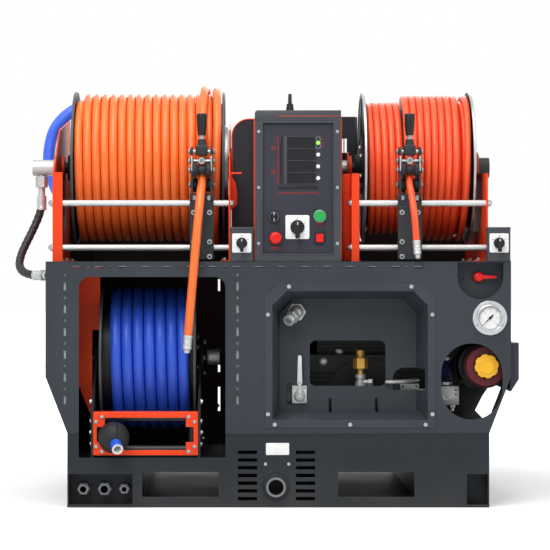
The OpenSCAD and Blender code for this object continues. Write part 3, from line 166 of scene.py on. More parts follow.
def hose_tube(name, line, radius, sides=16, swell=None, bore=None):
    """A closed tube along a line, with a UV map in metres along it; swell varies its radius."""
    last = len(line) - 1
    ways = [(line[min(i + 1, last)] - line[max(i - 1, 0)]).normalized() for i in range(last + 1)]
    aside = ways[0].orthogonal().normalized()
    along, run, rings = 0.0, [], []
    for i, way in enumerate(ways):
        aside = (aside - way * aside.dot(way)).normalized()
        other = way.cross(aside)
        along += (line[i] - line[i - 1]).length if i else 0.0
        run.append(along)
        ring = []
        for k in range(sides):
            turn = k / sides
            grow = swell(along, turn) if swell else 1.0
            out = aside * math.cos(2 * math.pi * turn) + other * math.sin(2 * math.pi * turn)
            ring.append(line[i] + out * radius * grow)
        rings.append(ring)
    points = [p for ring in rings for p in ring]
    faces, marks = [], []
    for i in range(last):
        for k in range(sides):
            a, b = i * sides + k, i * sides + (k + 1) % sides
            faces.append((a, b, b + sides, a + sides))
            marks += [(k / sides, run[i]), ((k + 1) / sides, run[i]),
                      ((k + 1) / sides, run[i + 1]), (k / sides, run[i + 1])]
    for end, base in ((0, 0), (last, last * sides)):
        middle = line[end]
        if bore and end:
            # an open end: a rim, and a bore a few diameters deep
            inner = len(points)
            points += [middle + (p - middle) * bore for p in rings[end]]
            deep = len(points)
            points += [middle + (p - middle) * bore - ways[end] * radius * 2 for p in rings[end]]
            for k in range(sides):
                m = (k + 1) % sides
                faces += [(base + k, base + m, inner + m, inner + k),
                          (inner + k, inner + m, deep + m, deep + k)]
                marks += [(0, run[end])] * 8
            faces.append(tuple(deep + k for k in range(sides)))
        else:
            cap = tuple(base + k for k in range(sides))
            faces.append(cap if end else cap[::-1])
        marks += [(0, run[end])] * sides
    mesh = bpy.data.meshes.new(name)
    mesh.from_pydata(points, [], faces)
    layer = mesh.uv_layers.new(name="along")
    for loop, mark in zip(layer.data, marks):
        loop.uv = mark
    for face in mesh.polygons[: last * sides]:
        face.use_smooth = True
    piece = bpy.data.objects.new(name, mesh)
    scene.collection.objects.link(piece)
    return piece


def finish_material(name):
    """A new material: its tree, its shader and the place that its patterns read."""
    paint = bpy.data.materials.new(name)
    paint.use_nodes = True
    tree = paint.node_tree
    return paint, tree, tree.nodes["Principled BSDF"], add_node(tree, "ShaderNodeTexCoord").outputs["Object"]


def noise(tree, where, scale, detail=3.0, stretch=None):
    """Noise at a place, drawn out along an axis where stretch scales it."""
    if stretch:
        where = add_node(tree, "ShaderNodeMapping", (where,), Scale=stretch).outputs[0]
    return add_node(tree, "ShaderNodeTexNoise", (where,), Scale=scale, Detail=detail).outputs["Fac"]


def blend_colours(tree, share, first, second, low=0.35, high=0.65):
    """A colour that goes from the first to the second as share goes from low to high."""
    ramp = add_node(tree, "ShaderNodeValToRGB", (share,))
    for stop, position, colour in zip(ramp.color_ramp.elements, (low, high), (first, second)):
        stop.position = position
        stop.color = (*colour, 1)
    return ramp.outputs[0]


def spread_value(tree, share, low, high):
    """A number that goes from low to high as share goes from 0.3 to 0.7."""
    return ranged(tree, share, 0.3, 0.7, low, high)


def relief(tree, shader, height, depth, normal=None):
    """Bump of a depth in metres, from a height field, on a rounded normal where one is given."""
    bump = add_node(tree, "ShaderNodeBump", Strength=1.0, Distance=depth, Height=height)
    if normal:
        wire(tree, bump, {"Normal": normal})
    wire(tree, shader, {"Normal": bump.outputs[0]})


def linear(code, share=1.0):
    """A colour as a shader takes it, from its web code, or a share of it."""
    parts = [int(code[i : i + 2], 16) / 255 for i in (1, 3, 5)]
    return tuple(share * (c / 12.92 if c <= 0.04045 else ((c + 0.055) / 1.055) ** 2.4) for c in parts)


def hose_cover(name, colour, scuffed, rough):
    """Extruded hose cover: even colour, long scuffs and draw lines along it, a fine grain."""
    paint, tree, shader, where = finish_material(name)
    along = add_node(tree, "ShaderNodeUVMap", uv_map="along").outputs[0]
    scuffs = noise(tree, along, 1.0, 4, (22, 9, 1))
    wire(tree, shader, {
        "Base Color": blend_colours(tree, scuffs, linear(colour), linear(scuffed), 0.45, 0.8),
        "Roughness": spread_value(tree, scuffs, rough - 0.06, rough + 0.12),
        "Specular IOR Level": 0.45,
    })
    relief(tree, shader, noise(tree, where, 900, 2), 0.00012)
    return paint


def brushed_steel(name, colour, rough, lines=(40, 40, 900), metal=0.8):
    """Bright metal with fine turning or brushing lines."""
    paint, tree, shader, where = finish_material(name)
    strokes = noise(tree, where, 1.0, 4, lines)
    wire(tree, shader, {
        "Base Color": blend_colours(tree, noise(tree, where, 18, 3), linear(colour, 0.88), linear(colour)),
        "Roughness": spread_value(tree, strokes, rough - 0.05, rough + 0.1),
        "Metallic": metal,
    })
    relief(tree, shader, strokes, 0.00003)
    return paint


orange_cover = hose_cover("orange_hose_cover", "#f26a24", "#f58a4e", 0.36)
red_cover = hose_cover("red_orange_hose_cover", "#f24e22", "#f5744c", 0.34)
blue_cover = hose_cover("blue_hose_cover", "#2450c8", "#3b66d6", 0.42)
feed_cover = hose_cover("feed_hose_cover", "#3a68ee", "#6088f4", 0.22)
guard_cover = hose_cover("spiral_guard", "#17181a", "#2c2e31", 0.5)
zinc = brushed_steel("zinc_plate", "#c0c2c1", 0.42, metal=0.6)


def wind_off_angle(axis, radius, nip, turn):
    """Angle at which a hose leaves its winding for a nip, both in the side view."""
    away = (nip[0] - axis[0], nip[1] - axis[1])
    return math.atan2(away[1], away[0]) - turn * math.acos(radius / math.hypot(*away))


def eased(t):
    """From 0 to 1 with a soft start and end."""
    t = min(max(t, 0.0), 1.0)
    return t * t * (3 - 2 * t)


# room between neighbouring strands of a winding, in millimetres
strand_gap = 0.5


def winding_line(diameter, radius, turns, first_x, side, axis, leave, sense, rings=44):
    """Centre line of a hose wound on a drum: it comes up out of the drum, fills one layer, climbs to
    the next and turns back, and ends a straight diameter after it leaves the winding."""
    flat, hidden, span, top = turns
    climb = 0.5 if top else 0.0
    total = flat + hidden + climb + top
    pitch = diameter + strand_gap
    rise = 0.24
    line = []
    for i in range(-round(rise * rings), math.ceil(total * rings) + 1):
        t = min(i / rings, total)
        if t <= flat:
            step = max(t, 0)
        elif t <= flat + hidden:
            step = flat + (t - flat) * span / hidden
        elif t <= flat + hidden + climb:
            step = span + t - hidden
        else:
            back = t - flat - hidden - climb
            step = flat + span + climb - 1.75 * min(back, 1) - max(back - 1, 0)
        lifted = eased((t - flat - hidden) / climb) if climb else 0.0
        sunk = eased(-t / rise)
        a = leave - sense * 2 * math.pi * (total - t)
        r = radius + pitch * lifted - 1.1 * diameter * sunk
        x = first_x + side * pitch * step
        line.append(place(x, axis[0] + r * math.cos(a), axis[1] + r * math.sin(a)))
    a, r = leave, radius + pitch * (1 if top else 0)
    x = line[-1].x * 1000
    ahead = (-sense * math.sin(a), sense * math.cos(a))
    for share in (0.5, 1.0):
        line.append(place(x, axis[0] + r * math.cos(a) + share * diameter * ahead[0],
                          axis[1] + r * math.sin(a) + share * diameter * ahead[1]))
    return line


deck_reel_axis, supply_reel_axis, guide_nip, lead_point = (300, 863), (255, 366), (45, 827), (8, 195)
# thickness of each hose, and radius of the first layer on each drum, in millimetres
left_hose, right_hose, supply_hose, whip_hose, feed_hose = 21.8, 17.5, 28, 21, 33
left_drum, right_drum, supply_drum = 183, 166, 171
left_leave = wind_off_angle(deck_reel_axis, left_drum + left_hose + strand_gap, guide_nip, 1)
right_leave = wind_off_angle(deck_reel_axis, right_drum + right_hose + strand_gap, guide_nip, 1)
supply_leave = wind_off_angle(supply_reel_axis, supply_drum, lead_point, -1)
left_line = winding_line(left_hose, left_drum, (15.5, 0, 0, 1), -510.1, 1, deck_reel_axis, left_leave, 1)
right_line = winding_line(right_hose, right_drum, (4.5, 1, 9, 8.0625), 238.25, 1, deck_reel_axis,
                          right_leave, 1)
supply_line = winding_line(supply_hose, supply_drum, (7.125, 0, 0, 0), -228.9375, -1, supply_reel_axis,
                           supply_leave, -1)
for reel, line, diameter, cover, slot in (
    ("left", left_line, left_hose, orange_cover, "orange_hose"),
    ("right", right_line, right_hose, red_cover, "red_hose"),
    ("supply", supply_line, supply_hose, blue_cover, "blue_hose"),
):
    wound = hose_tube(reel + "_wound_hose", line, diameter / 2000, 14)
    wound.data.materials.append(cover)
    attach(wound, reel + "_reel")
    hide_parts(reel + "_hose_coil")


# Free ends of the hoses: from the winding through the guide and down over the front, or through the
# fairlead, and the two hoses that stand outside the body. Turned and crimped steel ends close them.
def select_only(piece):
    """Make a piece the only one selected, and the active one."""
    bpy.ops.object.select_all(action="DESELECT")
    piece.select_set(True)
    bpy.context.view_layer.objects.active = piece


def smooth(piece, angle=32):
    """Shade a piece smooth, but for edges sharper than an angle."""
    select_only(piece)
    bpy.ops.object.shade_smooth_by_angle(angle=math.radians(angle))
    return piece


# ways on the machine
forward, backward = (0, -1, 0), (0, 1, 0)
leftward, rightward = (-1, 0, 0), (1, 0, 0)
downward, upward = (0, 0, -1), (0, 0, 1)


def ring_band(low, high, inner, outer):
    """Profile of a plain ring, from low to high along its axis and between two radii."""
    return [(low, inner), (low, outer), (high, outer), (high, inner), (low, inner)]


def turned(name, profile, start, way, steps=28):
    """A part turned on a lathe; profile is (distance along the way, radius) in millimetres."""
    mesh = bpy.data.meshes.new(name)
    mesh.from_pydata([(r / 1000, 0, s / 1000) for s, r in profile],
                     [(i, i + 1) for i in range(len(profile) - 1)], [])
    piece = bpy.data.objects.new(name, mesh)
    scene.collection.objects.link(piece)
    select_only(piece)
    bpy.ops.object.mode_set(mode="EDIT")
    bpy.ops.mesh.select_all(action="SELECT")
    bpy.ops.mesh.spin(steps=steps, angle=2 * math.pi, center=(0, 0, 0), axis=upward)
    bpy.ops.mesh.select_all(action="SELECT")
    bpy.ops.mesh.remove_doubles(threshold=0.00001)
    bpy.ops.mesh.normals_make_consistent(inside=False)
    bpy.ops.object.mode_set(mode="OBJECT")
    turn = Vector(way).to_track_quat("Z", "Y").to_matrix().to_4x4()
    mesh.transform(Matrix.Translation(start) @ turn)
    return smooth(piece)


def joined(name, pieces):
    """Several pieces as one, under a name."""
    bpy.ops.object.select_all(action="DESELECT")
    for piece in pieces:
        piece.select_set(True)
    bpy.context.view_layer.objects.active = pieces[0]
    if len(pieces) > 1:
        bpy.ops.object.join()
    pieces[0].name = name
    pieces[0].data.name = name
    return pieces[0]


def fit(piece, body, paint, slot=None, *stands_for):
    """Paint a finished piece, fix it to its body and hide the plain solids that it stands for."""
    piece.data.materials.clear()
    piece.data.materials.append(paint)
    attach(piece, body)
    if stands_for:
        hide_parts(*stands_for)
    return piece


def fit_chassis(name, pieces, paint, slot, *stands_for):
    """Several pieces as one part of the chassis."""
    return fit(joined(name, pieces), "chassis", paint, slot, *stands_for)


def crimped_end(name, start, way, radius, length):
    """Swaged ferrule with a bead at its mouth, three crimp grooves and a short turned tip."""
    tip = length - 9
    profile = [(-1, 0), (-1, radius + 0.8), (1, radius + 1.2), (4, radius + 1.2), (5, radius + 0.8)]
    for groove in (0.35, 0.55, 0.75):
        s = tip * groove
        profile += [(s - 2, radius + 0.8), (s - 1, radius + 0.2), (s + 1, radius + 0.2),
                    (s + 2, radius + 0.8)]
    profile += [(tip - 1, radius + 0.8), (tip, radius - 0.4), (tip + 1, radius - 2.5), (length, radius - 3),
                (length, radius - 5), (length - 8, radius - 5), (length - 8, 0)]
    return turned(name, profile, start, way)


# Turns of the right hose that lie under its outer layer, each a closed ring on the drum.
lower_turns = []
full_layer_x = 319.25
for i in range(1, 10):
    section = []
    for k in range(13):
        a = math.pi * k / 6
        section.append((right_hose / 2 * math.sin(a), right_drum + right_hose / 2 * math.cos(a)))
    at = place(full_layer_x + (right_hose + strand_gap) * i, *deck_reel_axis)
    lower_turns.append(turned("lower_turn", section, at, rightward, 48))
fit(joined("right_lower_turns", lower_turns), "right_reel", red_cover, "red_hose")

left_stops = ((-191, 45, 827), (-194, 19, 791), (-197, -7, 755), (-202, -20, 700), (-207, -28, 640),
              (-214, -30, 560), (-220, -30, 490), (-225, -30, 430))
right_stops = ((330, 45, 827), (333, 19, 791), (337, -6, 755), (341, -17, 710), (344, -20, 666))
for side, wound_line, stops, diameter, length, cover, slot in (
    ("left", left_line, left_stops, left_hose, 0.551, orange_cover, "orange_hose"),
    ("right", right_line, right_stops, right_hose, 0.337, red_cover, "red_hose"),
):
    route = [wound_line[-1]] + [place(*stop) for stop in stops]
    tail_line = through(route)
    tail = hose_tube(side + "_hose_end", tail_line, diameter / 2000)
    ferrule = crimped_end(side + "_hose_ferrule", route[-1], route[-1] - route[-2], diameter / 2, 43)
    fit(tail, side + "_guide", cover, slot, side + "_hose_tail")
    fit(ferrule, side + "_guide", zinc, "steel")

supply_stops = [supply_line[-1]]
for stop in ((-431, 150, 196), (-428, 80, 202), (-419, 8, 195), (-397, -92, 152)):
    supply_stops.append(place(*stop))
supply_free = through(supply_stops)
supply_sides = 24
supply_end = hose_tube("supply_hose_free_end", supply_free, supply_hose / 2000, supply_sides, bore=0.66)
fit(supply_end, "chassis", blue_cover, "blue_hose", "supply_hose_end")
# the cut face and the lining of the open end are white
lining, lining_tree, lining_shader, lining_where = finish_material("white_hose_lining")
lining_clouds = noise(lining_tree, lining_where, 120)
wire(lining_tree, lining_shader, {
    "Base Color": blend_colours(lining_tree, lining_clouds, linear("#d9d9d6"), linear("#f2f2f0")),
    "Roughness": 0.55,
})
supply_end.data.materials.append(lining)
cover_faces = (len(supply_free) - 1) * supply_sides
for face in supply_end.data.polygons[cover_faces + 1 :]:
    face.material_index = 1


def spiral_guard(along, turn):
    """Share of the radius of a hose in a spiral guard: each lap of the strip tucks under the last."""
    return 0.93 + 0.13 * ((along / 0.017 - turn) % 1.0)


whip_top_at, whip_low_at = place(-618, 300, 763), place(-606, 130, 580)
whip_line = geometry.interpolate_bezier(whip_top_at, place(-636, 300, 675), place(-729, 216, 580),
                                        whip_low_at, 96)
whip = hose_tube("whip_hose_in_guard", whip_line, whip_hose / 2000, 20, swell=spiral_guard)
fit(whip, "chassis", guard_cover, "black_hose", "whip_hose")
whip_top = joined("whip_hose_upper_end", [
    crimped_end("crimp", whip_top_at - Vector((0, 0, 0.01)), upward, 11.5, 46),
    turned("hexagon", [(0, 8), (0, 14.5), (1.5, 16), (28, 16), (29.5, 14.5), (29.5, 8), (0, 8)],
           place(-618, 300, 811), upward, 6)])
whip_way = (whip_line[-1] - whip_line[-2]).normalized()
whip_low = crimped_end("whip_hose_lower_end", whip_low_at - whip_way * 0.02, whip_way, 11.5, 40)
for crimp in (whip_top, whip_low):
    fit(crimp, "chassis", zinc, "steel")

feed_stops = [place(x, 610, z) for x, z in (
    (-540, 645), (-540, 685), (-558, 740), (-596, 800), (-620, 860), (-625, 920), (-607, 988), (-557, 1037),
    (-490, 1055), (-422, 1037), (-373, 988), (-355, 920), (-355, 800), (-355, 645))]
feed_line = through(feed_stops, 10)
feed = hose_tube("feed_hose_bow", feed_line, feed_hose / 2000, 20)
fit(feed, "chassis", feed_cover, "clear_blue_hose", "feed_hose")
feed_clips = []
for clip_x in (-540, -355):
    band = ring_band(0, 9, 16.6, 18.2)
    feed_clips.append(turned("clip", band, place(clip_x, 610, 650), upward, 32))
feed_clip = fit_chassis("feed_hose_clips", feed_clips, zinc, "steel")


# Base, body and deck: laser-cut and folded steel sheet, welded and powder coated dark grey. The coat
# has a fine orange peel, is rubbed a little brighter along its folds, and is dusty near the ground. The
# base and the deck are coated darker than the panel as painted shade.
def edge_share(tree, radius):
    """How near a surface is to one of its own edges, from 0 to 1, and the normal rounded there."""
    soft = add_node(tree, "ShaderNodeBevel", samples=4, Radius=radius).outputs[0]
    flat = add_node(tree, "ShaderNodeNewGeometry").outputs["Normal"]
    agree = add_node(tree, "ShaderNodeVectorMath", (soft, flat), operation="DOT_PRODUCT")
    return ranged(tree, agree.outputs["Value"], 0.995, 0.85, 0.0, 1.0), soft


def over(tree, share, below, above):
    """One colour laid over another by a share."""
    colours = [(*colour, 1) if isinstance(colour, tuple) else colour for colour in (below, above)]
    return add_node(tree, "ShaderNodeMixRGB", (share, *colours)).outputs[0]


def powder_coat(name, colour, rubbed, rough=0.42, inside=None, pockets=()):
    """Powder coat on sheet metal; inside is the rear panel's inner face, red-orange darkened as painted
    shade, and pockets are the middles of the fork pockets, which get near-black painted shade."""
    paint, tree, shader, where = finish_material(name)
    clouds = noise(tree, where, 4, 4)
    coat = blend_colours(tree, clouds, linear(colour, 0.9), linear(colour, 1.1))
    at = add_node(tree, "ShaderNodeSeparateXYZ", (where,)).outputs
    # the rear panel's inner face: its own red-orange, darkened as painted shade
    if inside:
        rear_panel_y = 0.4213
        normal = add_node(tree, "ShaderNodeNewGeometry").outputs["Normal"]
        facing = add_node(tree, "ShaderNodeSeparateXYZ", (normal,)).outputs
        on_rear_panel = maths(tree, "GREATER_THAN", at["Y"], rear_panel_y)
        to_the_front = maths(tree, "LESS_THAN", facing["Y"], -0.5)
        coat = over(tree, maths(tree, "MULTIPLY", on_rear_panel, to_the_front), coat, linear(inside))
    edge, soft = edge_share(tree, 0.0016)
    wear = maths(tree, "MULTIPLY", edge, noise(tree, where, 35, 4))
    coat = over(tree, maths(tree, "MULTIPLY", wear, 0.8), coat, linear(rubbed))
    low_down = ranged(tree, at["Z"], 0.12, 0.0, 0.0, 0.12)
    dust = maths(tree, "MULTIPLY", low_down, noise(tree, where, 9, 5))
    coat = over(tree, dust, coat, linear("#8d8578"))
    for middle in pockets:
        # painted shade, near black, within the width, the height and the depth of the pocket, as (middle,
        # half)
        deep = maths(tree, "COMPARE", at["X"], middle, 0.097)
        for way, centre, half in (("Z", 0.045, 0.05), ("Y", 0.0, 0.419)):
            deep = maths(tree, "MULTIPLY", deep, maths(tree, "COMPARE", at[way], centre, half))
        coat = over(tree, deep, coat, linear("#050606"))
    wire(tree, shader, {
        "Base Color": coat,
        "Roughness": spread_value(tree, clouds, rough - 0.04, rough + 0.06),
        "Specular IOR Level": 0.22,
    })
    relief(tree, shader, noise(tree, where, 1300, 2), 0.00007, soft)
    return paint


def paint_nodes(paint, *names):
    """Give CAD nodes their finish."""
    for name in names:
        nodes[name].data.materials.clear()
        nodes[name].data.materials.append(paint)


# panel coat; the rear panel's inner face gets a dark red-brown, its orange darkened as painted shade
panel_grey = powder_coat("panel_powder_coat", "#33383e", "#5d636a", inside="#43180f")
# base and deck coat: darker than the panel coat as painted shade, for the light falling off towards the
# ground and over the deck
shaded_base_grey = powder_coat("base_powder_coat_painted_shade", "#22272c", "#4a4f55", pockets=(-0.2457, 0.2443))
tray_grey = powder_coat("tray_powder_coat", "#373c42", "#5d636a")
paint_nodes(panel_grey, "front_panel", "body_panels")
paint_nodes(shaded_base_grey, "base_tub", "deck")
paint_nodes(tray_grey, "service_tray")


def edges_broken(piece, width, segments=2):
    """Round the edges of a piece by a width in millimetres, and shade it."""
    if width:
        select_only(piece)
        bevel = piece.modifiers.new("broken_edges", "BEVEL")
        bevel.width = width / 1000
        bevel.segments = segments
        bevel.limit_method = "ANGLE"
        bevel.angle_limit = math.radians(40)
        bpy.ops.object.modifier_apply(modifier=bevel.name)
    return smooth(piece)


def block(name, low, high, round_over=0.8, segments=2):
    """A sawn or folded block between two corners in millimetres behind the front panel, edges broken."""
    a, b = place(*low), place(*high)
    bpy.ops.object.select_all(action="DESELECT")
    bpy.ops.mesh.primitive_cube_add(size=1, location=(a + b) / 2)
    piece = bpy.context.object
    piece.scale = b - a
    bpy.ops.object.transform_apply(location=True, rotation=True, scale=True)
    piece.name = name
    return edges_broken(piece, round_over, segments)


# Folded lip along the top of the base, the rubbing strip along its foot, and the seams beside them.
lips = [block("lip", (x0, -1.6, 182), (x1, 0.4, 186)) for x0, x1 in ((-527, -500), (-131, 527))]
lips.append(block("lip", (-527, -1.6, 0.3), (527, 0.6, 7)))
for x in (-528, 526.5):
    lips.append(block("lip", (x, 0, 0.3), (x + 1.5, 850, 7)))
fit_chassis("base_lips", lips, shaded_base_grey, "panel_grey")


# Deck reels: drums between pressed steel end plates with rolled rims, bolted to hubs on a shaft that
# turns in bosses of the orange side frames. The left drum carries a turned brake ring.
def cast_metal(name, colour, rough, metal=1.0):
    """Sand-cast metal: grainy skin, dull, darker in random patches."""
    paint, tree, shader, where = finish_material(name)
    grain = noise(tree, where, 420, 4)
    wire(tree, shader, {
        "Base Color": blend_colours(tree, noise(tree, where, 14, 4), linear(colour, 0.72), linear(colour)),
        "Roughness": spread_value(tree, grain, rough - 0.06, rough + 0.12),
        "Metallic": metal,
    })
    relief(tree, shader, grain, 0.0002, edge_share(tree, 0.001)[1])
    return paint


def moulded(name, colour, rough, grain=800):
    """Moulded plastic or rubber: even colour with faint clouds and the fine grain of the mould."""
    paint, tree, shader, where = finish_material(name)
    clouds = noise(tree, where, 30, 3)
    wire(tree, shader, {
        "Base Color": blend_colours(tree, clouds, linear(colour, 0.93), linear(colour)),
        "Roughness": spread_value(tree, clouds, rough - 0.03, rough + 0.05),
        "Specular IOR Level": 0.3,
    })
    relief(tree, shader, noise(tree, where, grain, 2), 0.00004, edge_share(tree, 0.0006)[1])
    return paint


frame_orange = powder_coat("orange_powder_coat", "#e94319", "#ff8a66", 0.4)
black_coat = powder_coat("black_powder_coat", "#1e2022", "#4b4f53", 0.44)
housing_coat = powder_coat("housing_powder_coat", "#26272c", "#565a60", 0.46)
cast_black = cast_metal("painted_casting", "#2c2f32", 0.5, 0.2)
rail_steel = brushed_steel("ground_rail_steel", "#c6c6c3", 0.36, (4, 300, 300), 0.6)
rim_steel = brushed_steel("rolled_rim", "#b9bcbf", 0.34)
worn_rim = powder_coat("worn_black_rim", "#4a4d50", "#8d9194", 0.4)
bolt_steel = brushed_steel("bolt_zinc", "#a9acae", 0.32, metal=0.8)
black_plastic = moulded("black_plastic", "#111214", 0.42)
black_rubber = moulded("black_rubber", "#1d1e20", 0.58, 500)
paint_nodes(frame_orange, "reel_frames")
paint_nodes(black_coat, "left_reel", "right_reel", "supply_reel")
paint_nodes(housing_coat, "drive_housing")
paint_nodes(cast_black, "reel_motors")
paint_nodes(rail_steel, "guide_rails")
paint_nodes(bolt_steel, "screws")


def hex_bolt(at, way, across, height):
    """Hexagon head with a chamfered crown, on its washer."""
    r = across / 1.732
    head = turned("head", [(0, 0), (0, r), (height * 0.8, r), (height, r * 0.84), (height, 0)], at, way, 6)
    washer = turned("washer", [(-0.2, 0), (-0.2, r * 1.45), (1, r * 1.45), (1.4, r * 1.3), (1.4, 0)],
                    at, way, 20)
    return joined("hex_bolt", [head, washer])


def socket_screw(at, way, r, height):
    """Cap head with a broken rim and a socket in its middle."""
    socket = r * 0.5
    floor_of_socket = height * 0.35
    return turned("socket_screw", [(-0.2, 0), (-0.2, r), (height - 0.8, r), (height, r - 0.8),
                                   (height, socket), (floor_of_socket, socket), (floor_of_socket, 0)],
                  at, way, 20)


def dome_nut(at, way, r, height):
    """Cap nut: a short collar and a round dome."""
    collar = [(-0.3, 0), (-0.3, r * 1.12), (height * 0.15, r * 1.12)]
    dome = [(height * (0.3 + 0.7 * math.sin(a)), r * math.cos(a)) for a in (0, 0.35, 0.7, 1.05, 1.35)]
    return turned("dome_nut", collar + dome + [(height, 0)], at, way, 20)


def around(axis, radius, count, first=0.0):
    """Places on a circle in the side view: (behind the front panel, height)."""
    angles = [first + 2 * math.pi * i / count for i in range(count)]
    return [(axis[0] + radius * math.cos(a), axis[1] + radius * math.sin(a)) for a in angles]


def swing(piece, at, angle, about="Y"):
    """Swing a piece about an axis through a place."""
    centre = Matrix.Translation(at)
    piece.data.transform(centre @ Matrix.Rotation(angle, 4, about) @ centre.inverted())
    return piece


def swung_copy(piece, at, angle, about="Y"):
    """A copy of a piece, with a mesh of its own, swung about an axis through a place."""
    copy = bpy.data.objects.new(piece.name, piece.data.copy())
    scene.collection.objects.link(copy)
    return swing(copy, at, angle, about)


for reel, axis, plate_r, faces in (
    ("left", deck_reel_axis, 198, ((-526, -1, 22), (-137.4, 1, 4))),
    ("right", deck_reel_axis, 198, ((224.5, -1, 20), (504, 1, 9))),
    ("supply", supply_reel_axis, 190, ((-451, -1, 7), (-209.9, 1, 5))),
):
    rims, hubs, bolts = [], [], []
    for face_x, side, hub_h in faces:
        at, way = place(face_x, *axis), (side, 0, 0)
        rims.append(turned("rim", [
            (-4.3, plate_r - 1), (-4.3, plate_r + 0.5), (-3.4, plate_r + 1.5), (1.2, plate_r + 1.5),
            (2.6, plate_r + 0.3), (2.6, plate_r - 4.5), (0.2, plate_r - 6), (-0.5, plate_r - 6),
            (-0.5, plate_r - 1), (-4.3, plate_r - 1)], at, way, 72))
        hubs.append(turned("hub", [(-0.5, 14), (-0.5, 68), (2.5, 68), (3.5, 65), (3.5, 40), (hub_h, 33),
                                   (hub_h, 15.2), (-0.5, 15.2)], at, way, 40))
        rib = block("rib", (min(face_x, face_x + side * 2.5), axis[0] - 7, axis[1] + 84),
                    (max(face_x, face_x + side * 2.5), axis[0] + 7, axis[1] + plate_r - 16), 1.2)
        hubs += [rib] + [swung_copy(rib, at, math.radians(60 * i), "X") for i in range(1, 6)]
        if hub_h > 4:
            for spot in around(axis, 52, 6, 0.5):
                bolts.append(hex_bolt(place(face_x + side * 3.5, *spot), way, 11, 4.5))
    rim_paint = rim_steel if reel == "right" else worn_rim
    fit(joined(reel + "_reel_rims", rims), reel + "_reel", rim_paint, "steel")
    fit(joined(reel + "_reel_hubs", hubs), reel + "_reel", black_coat, "black_metal")
    fit(joined(reel + "_reel_bolts", bolts), reel + "_reel", bolt_steel, "steel")
brake_profile = [(-10.8, 70), (-10.8, 111), (-10, 112), (-0.8, 112), (0, 111), (0, 70), (-10.8, 70)]
brake = turned("left_reel_brake_ring", brake_profile, place(-126.6, *deck_reel_axis), rightward, 72)
fit(brake, "left_reel", rim_steel, "steel")

# Feet of the side frames on the deck, and the cap nuts on the ends of the rails.
feet, foot_bolts = [], []
for foot_x0, foot_x1 in ((-564, -542), (-147, -124.4), (189.5, 212), (503, 525)):
    for foot_y in (110, 300, 490):
        feet.append(block("foot", (foot_x0, foot_y, 614.8), (foot_x1, foot_y + 46, 619), 0.8))
        foot_bolts.append(hex_bolt(place((foot_x0 + foot_x1) / 2, foot_y + 23, 619), upward, 10, 6))
fit_chassis("frame_feet", feet, frame_orange, "frame_orange")
rail_nuts = []
for nut_x, side, heights in (
    (-120.4, 1, (762,)),
    (-568, -1, (650, 762)),
    (529, 1, (762,)),
    (185.5, -1, (650, 762)),
):
    rail_nuts += [dome_nut(place(nut_x, 53, z), (side, 0, 0), 8.5, 12) for z in heights]
fit_chassis("rail_nuts", rail_nuts + foot_bolts, bolt_steel, "steel")

# Orange edge trim around the front of the drive cover.
corner = [(-72.4 - 44 * math.cos(a), 936 + 44 * math.sin(a)) for a in (math.pi * i / 16 for i in range(9))]
trim_edge = [(-116.4, 617), (-116.4, 780)] + corner + [(60, 980), (164.5, 980)]
trim_line = [place(x, 129.6, z) for x, z in trim_edge]
fit(hose_tube("drive_cover_trim", trim_line, 0.0015, 8), "chassis", frame_orange, "frame_orange")

# Gear cover of the right reel: the lid of the dark box with its screws, and a cable gland.
gear_lid = block("gear_lid", (555, 306, 845), (559, 444, 881), 1.2)
gland = turned("gland", [(0, 0), (0, 9), (6, 9), (7, 7), (16, 6.5), (18, 5), (18, 0)],
               place(541, 430, 887), upward, 6)
fit_chassis("gear_cover", [gear_lid, gland], cast_black, "black_metal")
lid_screws = [socket_screw(place(559, y, z), rightward, 3.2, 2.5) for y in (313, 437) for z in (851, 875)]
fit_chassis("gear_cover_screws", lid_screws, bolt_steel, "steel")


# Hose guides: a folded black carriage on two rails, a yoke with two black spool rollers that the hose
# runs between, and a clamp lever with a silver neck and a black grip that is wider at its top.
guide_coat = powder_coat("guide_powder_coat", "#2e3033", "#5c6064", 0.42)
paint_nodes(guide_coat, "left_guide", "right_guide")
paint_nodes(black_rubber, "left_upper_roller", "left_lower_roller")
paint_nodes(black_rubber, "right_upper_roller", "right_lower_roller")
# pivot of the lever and tie bar of the yoke: (behind the front panel, height)
lever_pivot, yoke_tie = (45, 892), (40, 868)


def guide_lever(x):
    """Forged block on the pivot, turned neck and tapered grip of a clamp lever, as three pieces."""
    pivot = place(x, *lever_pivot)
    forged = block("lever_block", (x - 15, 33, 882), (x + 15, 57, 908), 3, 3)
    socket = turned("lever_socket", [(15, 0), (15, 11.5), (22, 11), (31, 10), (31, 0)], pivot, upward)
    neck = turned("lever_neck", [(30, 0), (30, 7.5), (33, 7.5), (34, 6), (38, 6), (39, 8), (41, 8), (41, 0)],
                  pivot, upward)
    grip = turned("lever_grip", [(40.5, 0), (40.5, 9.3), (42, 10), (60, 11.8), (80, 13), (92, 13.3),
                                 (95.5, 12), (96, 10), (96, 0)], pivot, upward, 32)
    return joined("lever_block", [forged, socket]), neck, grip


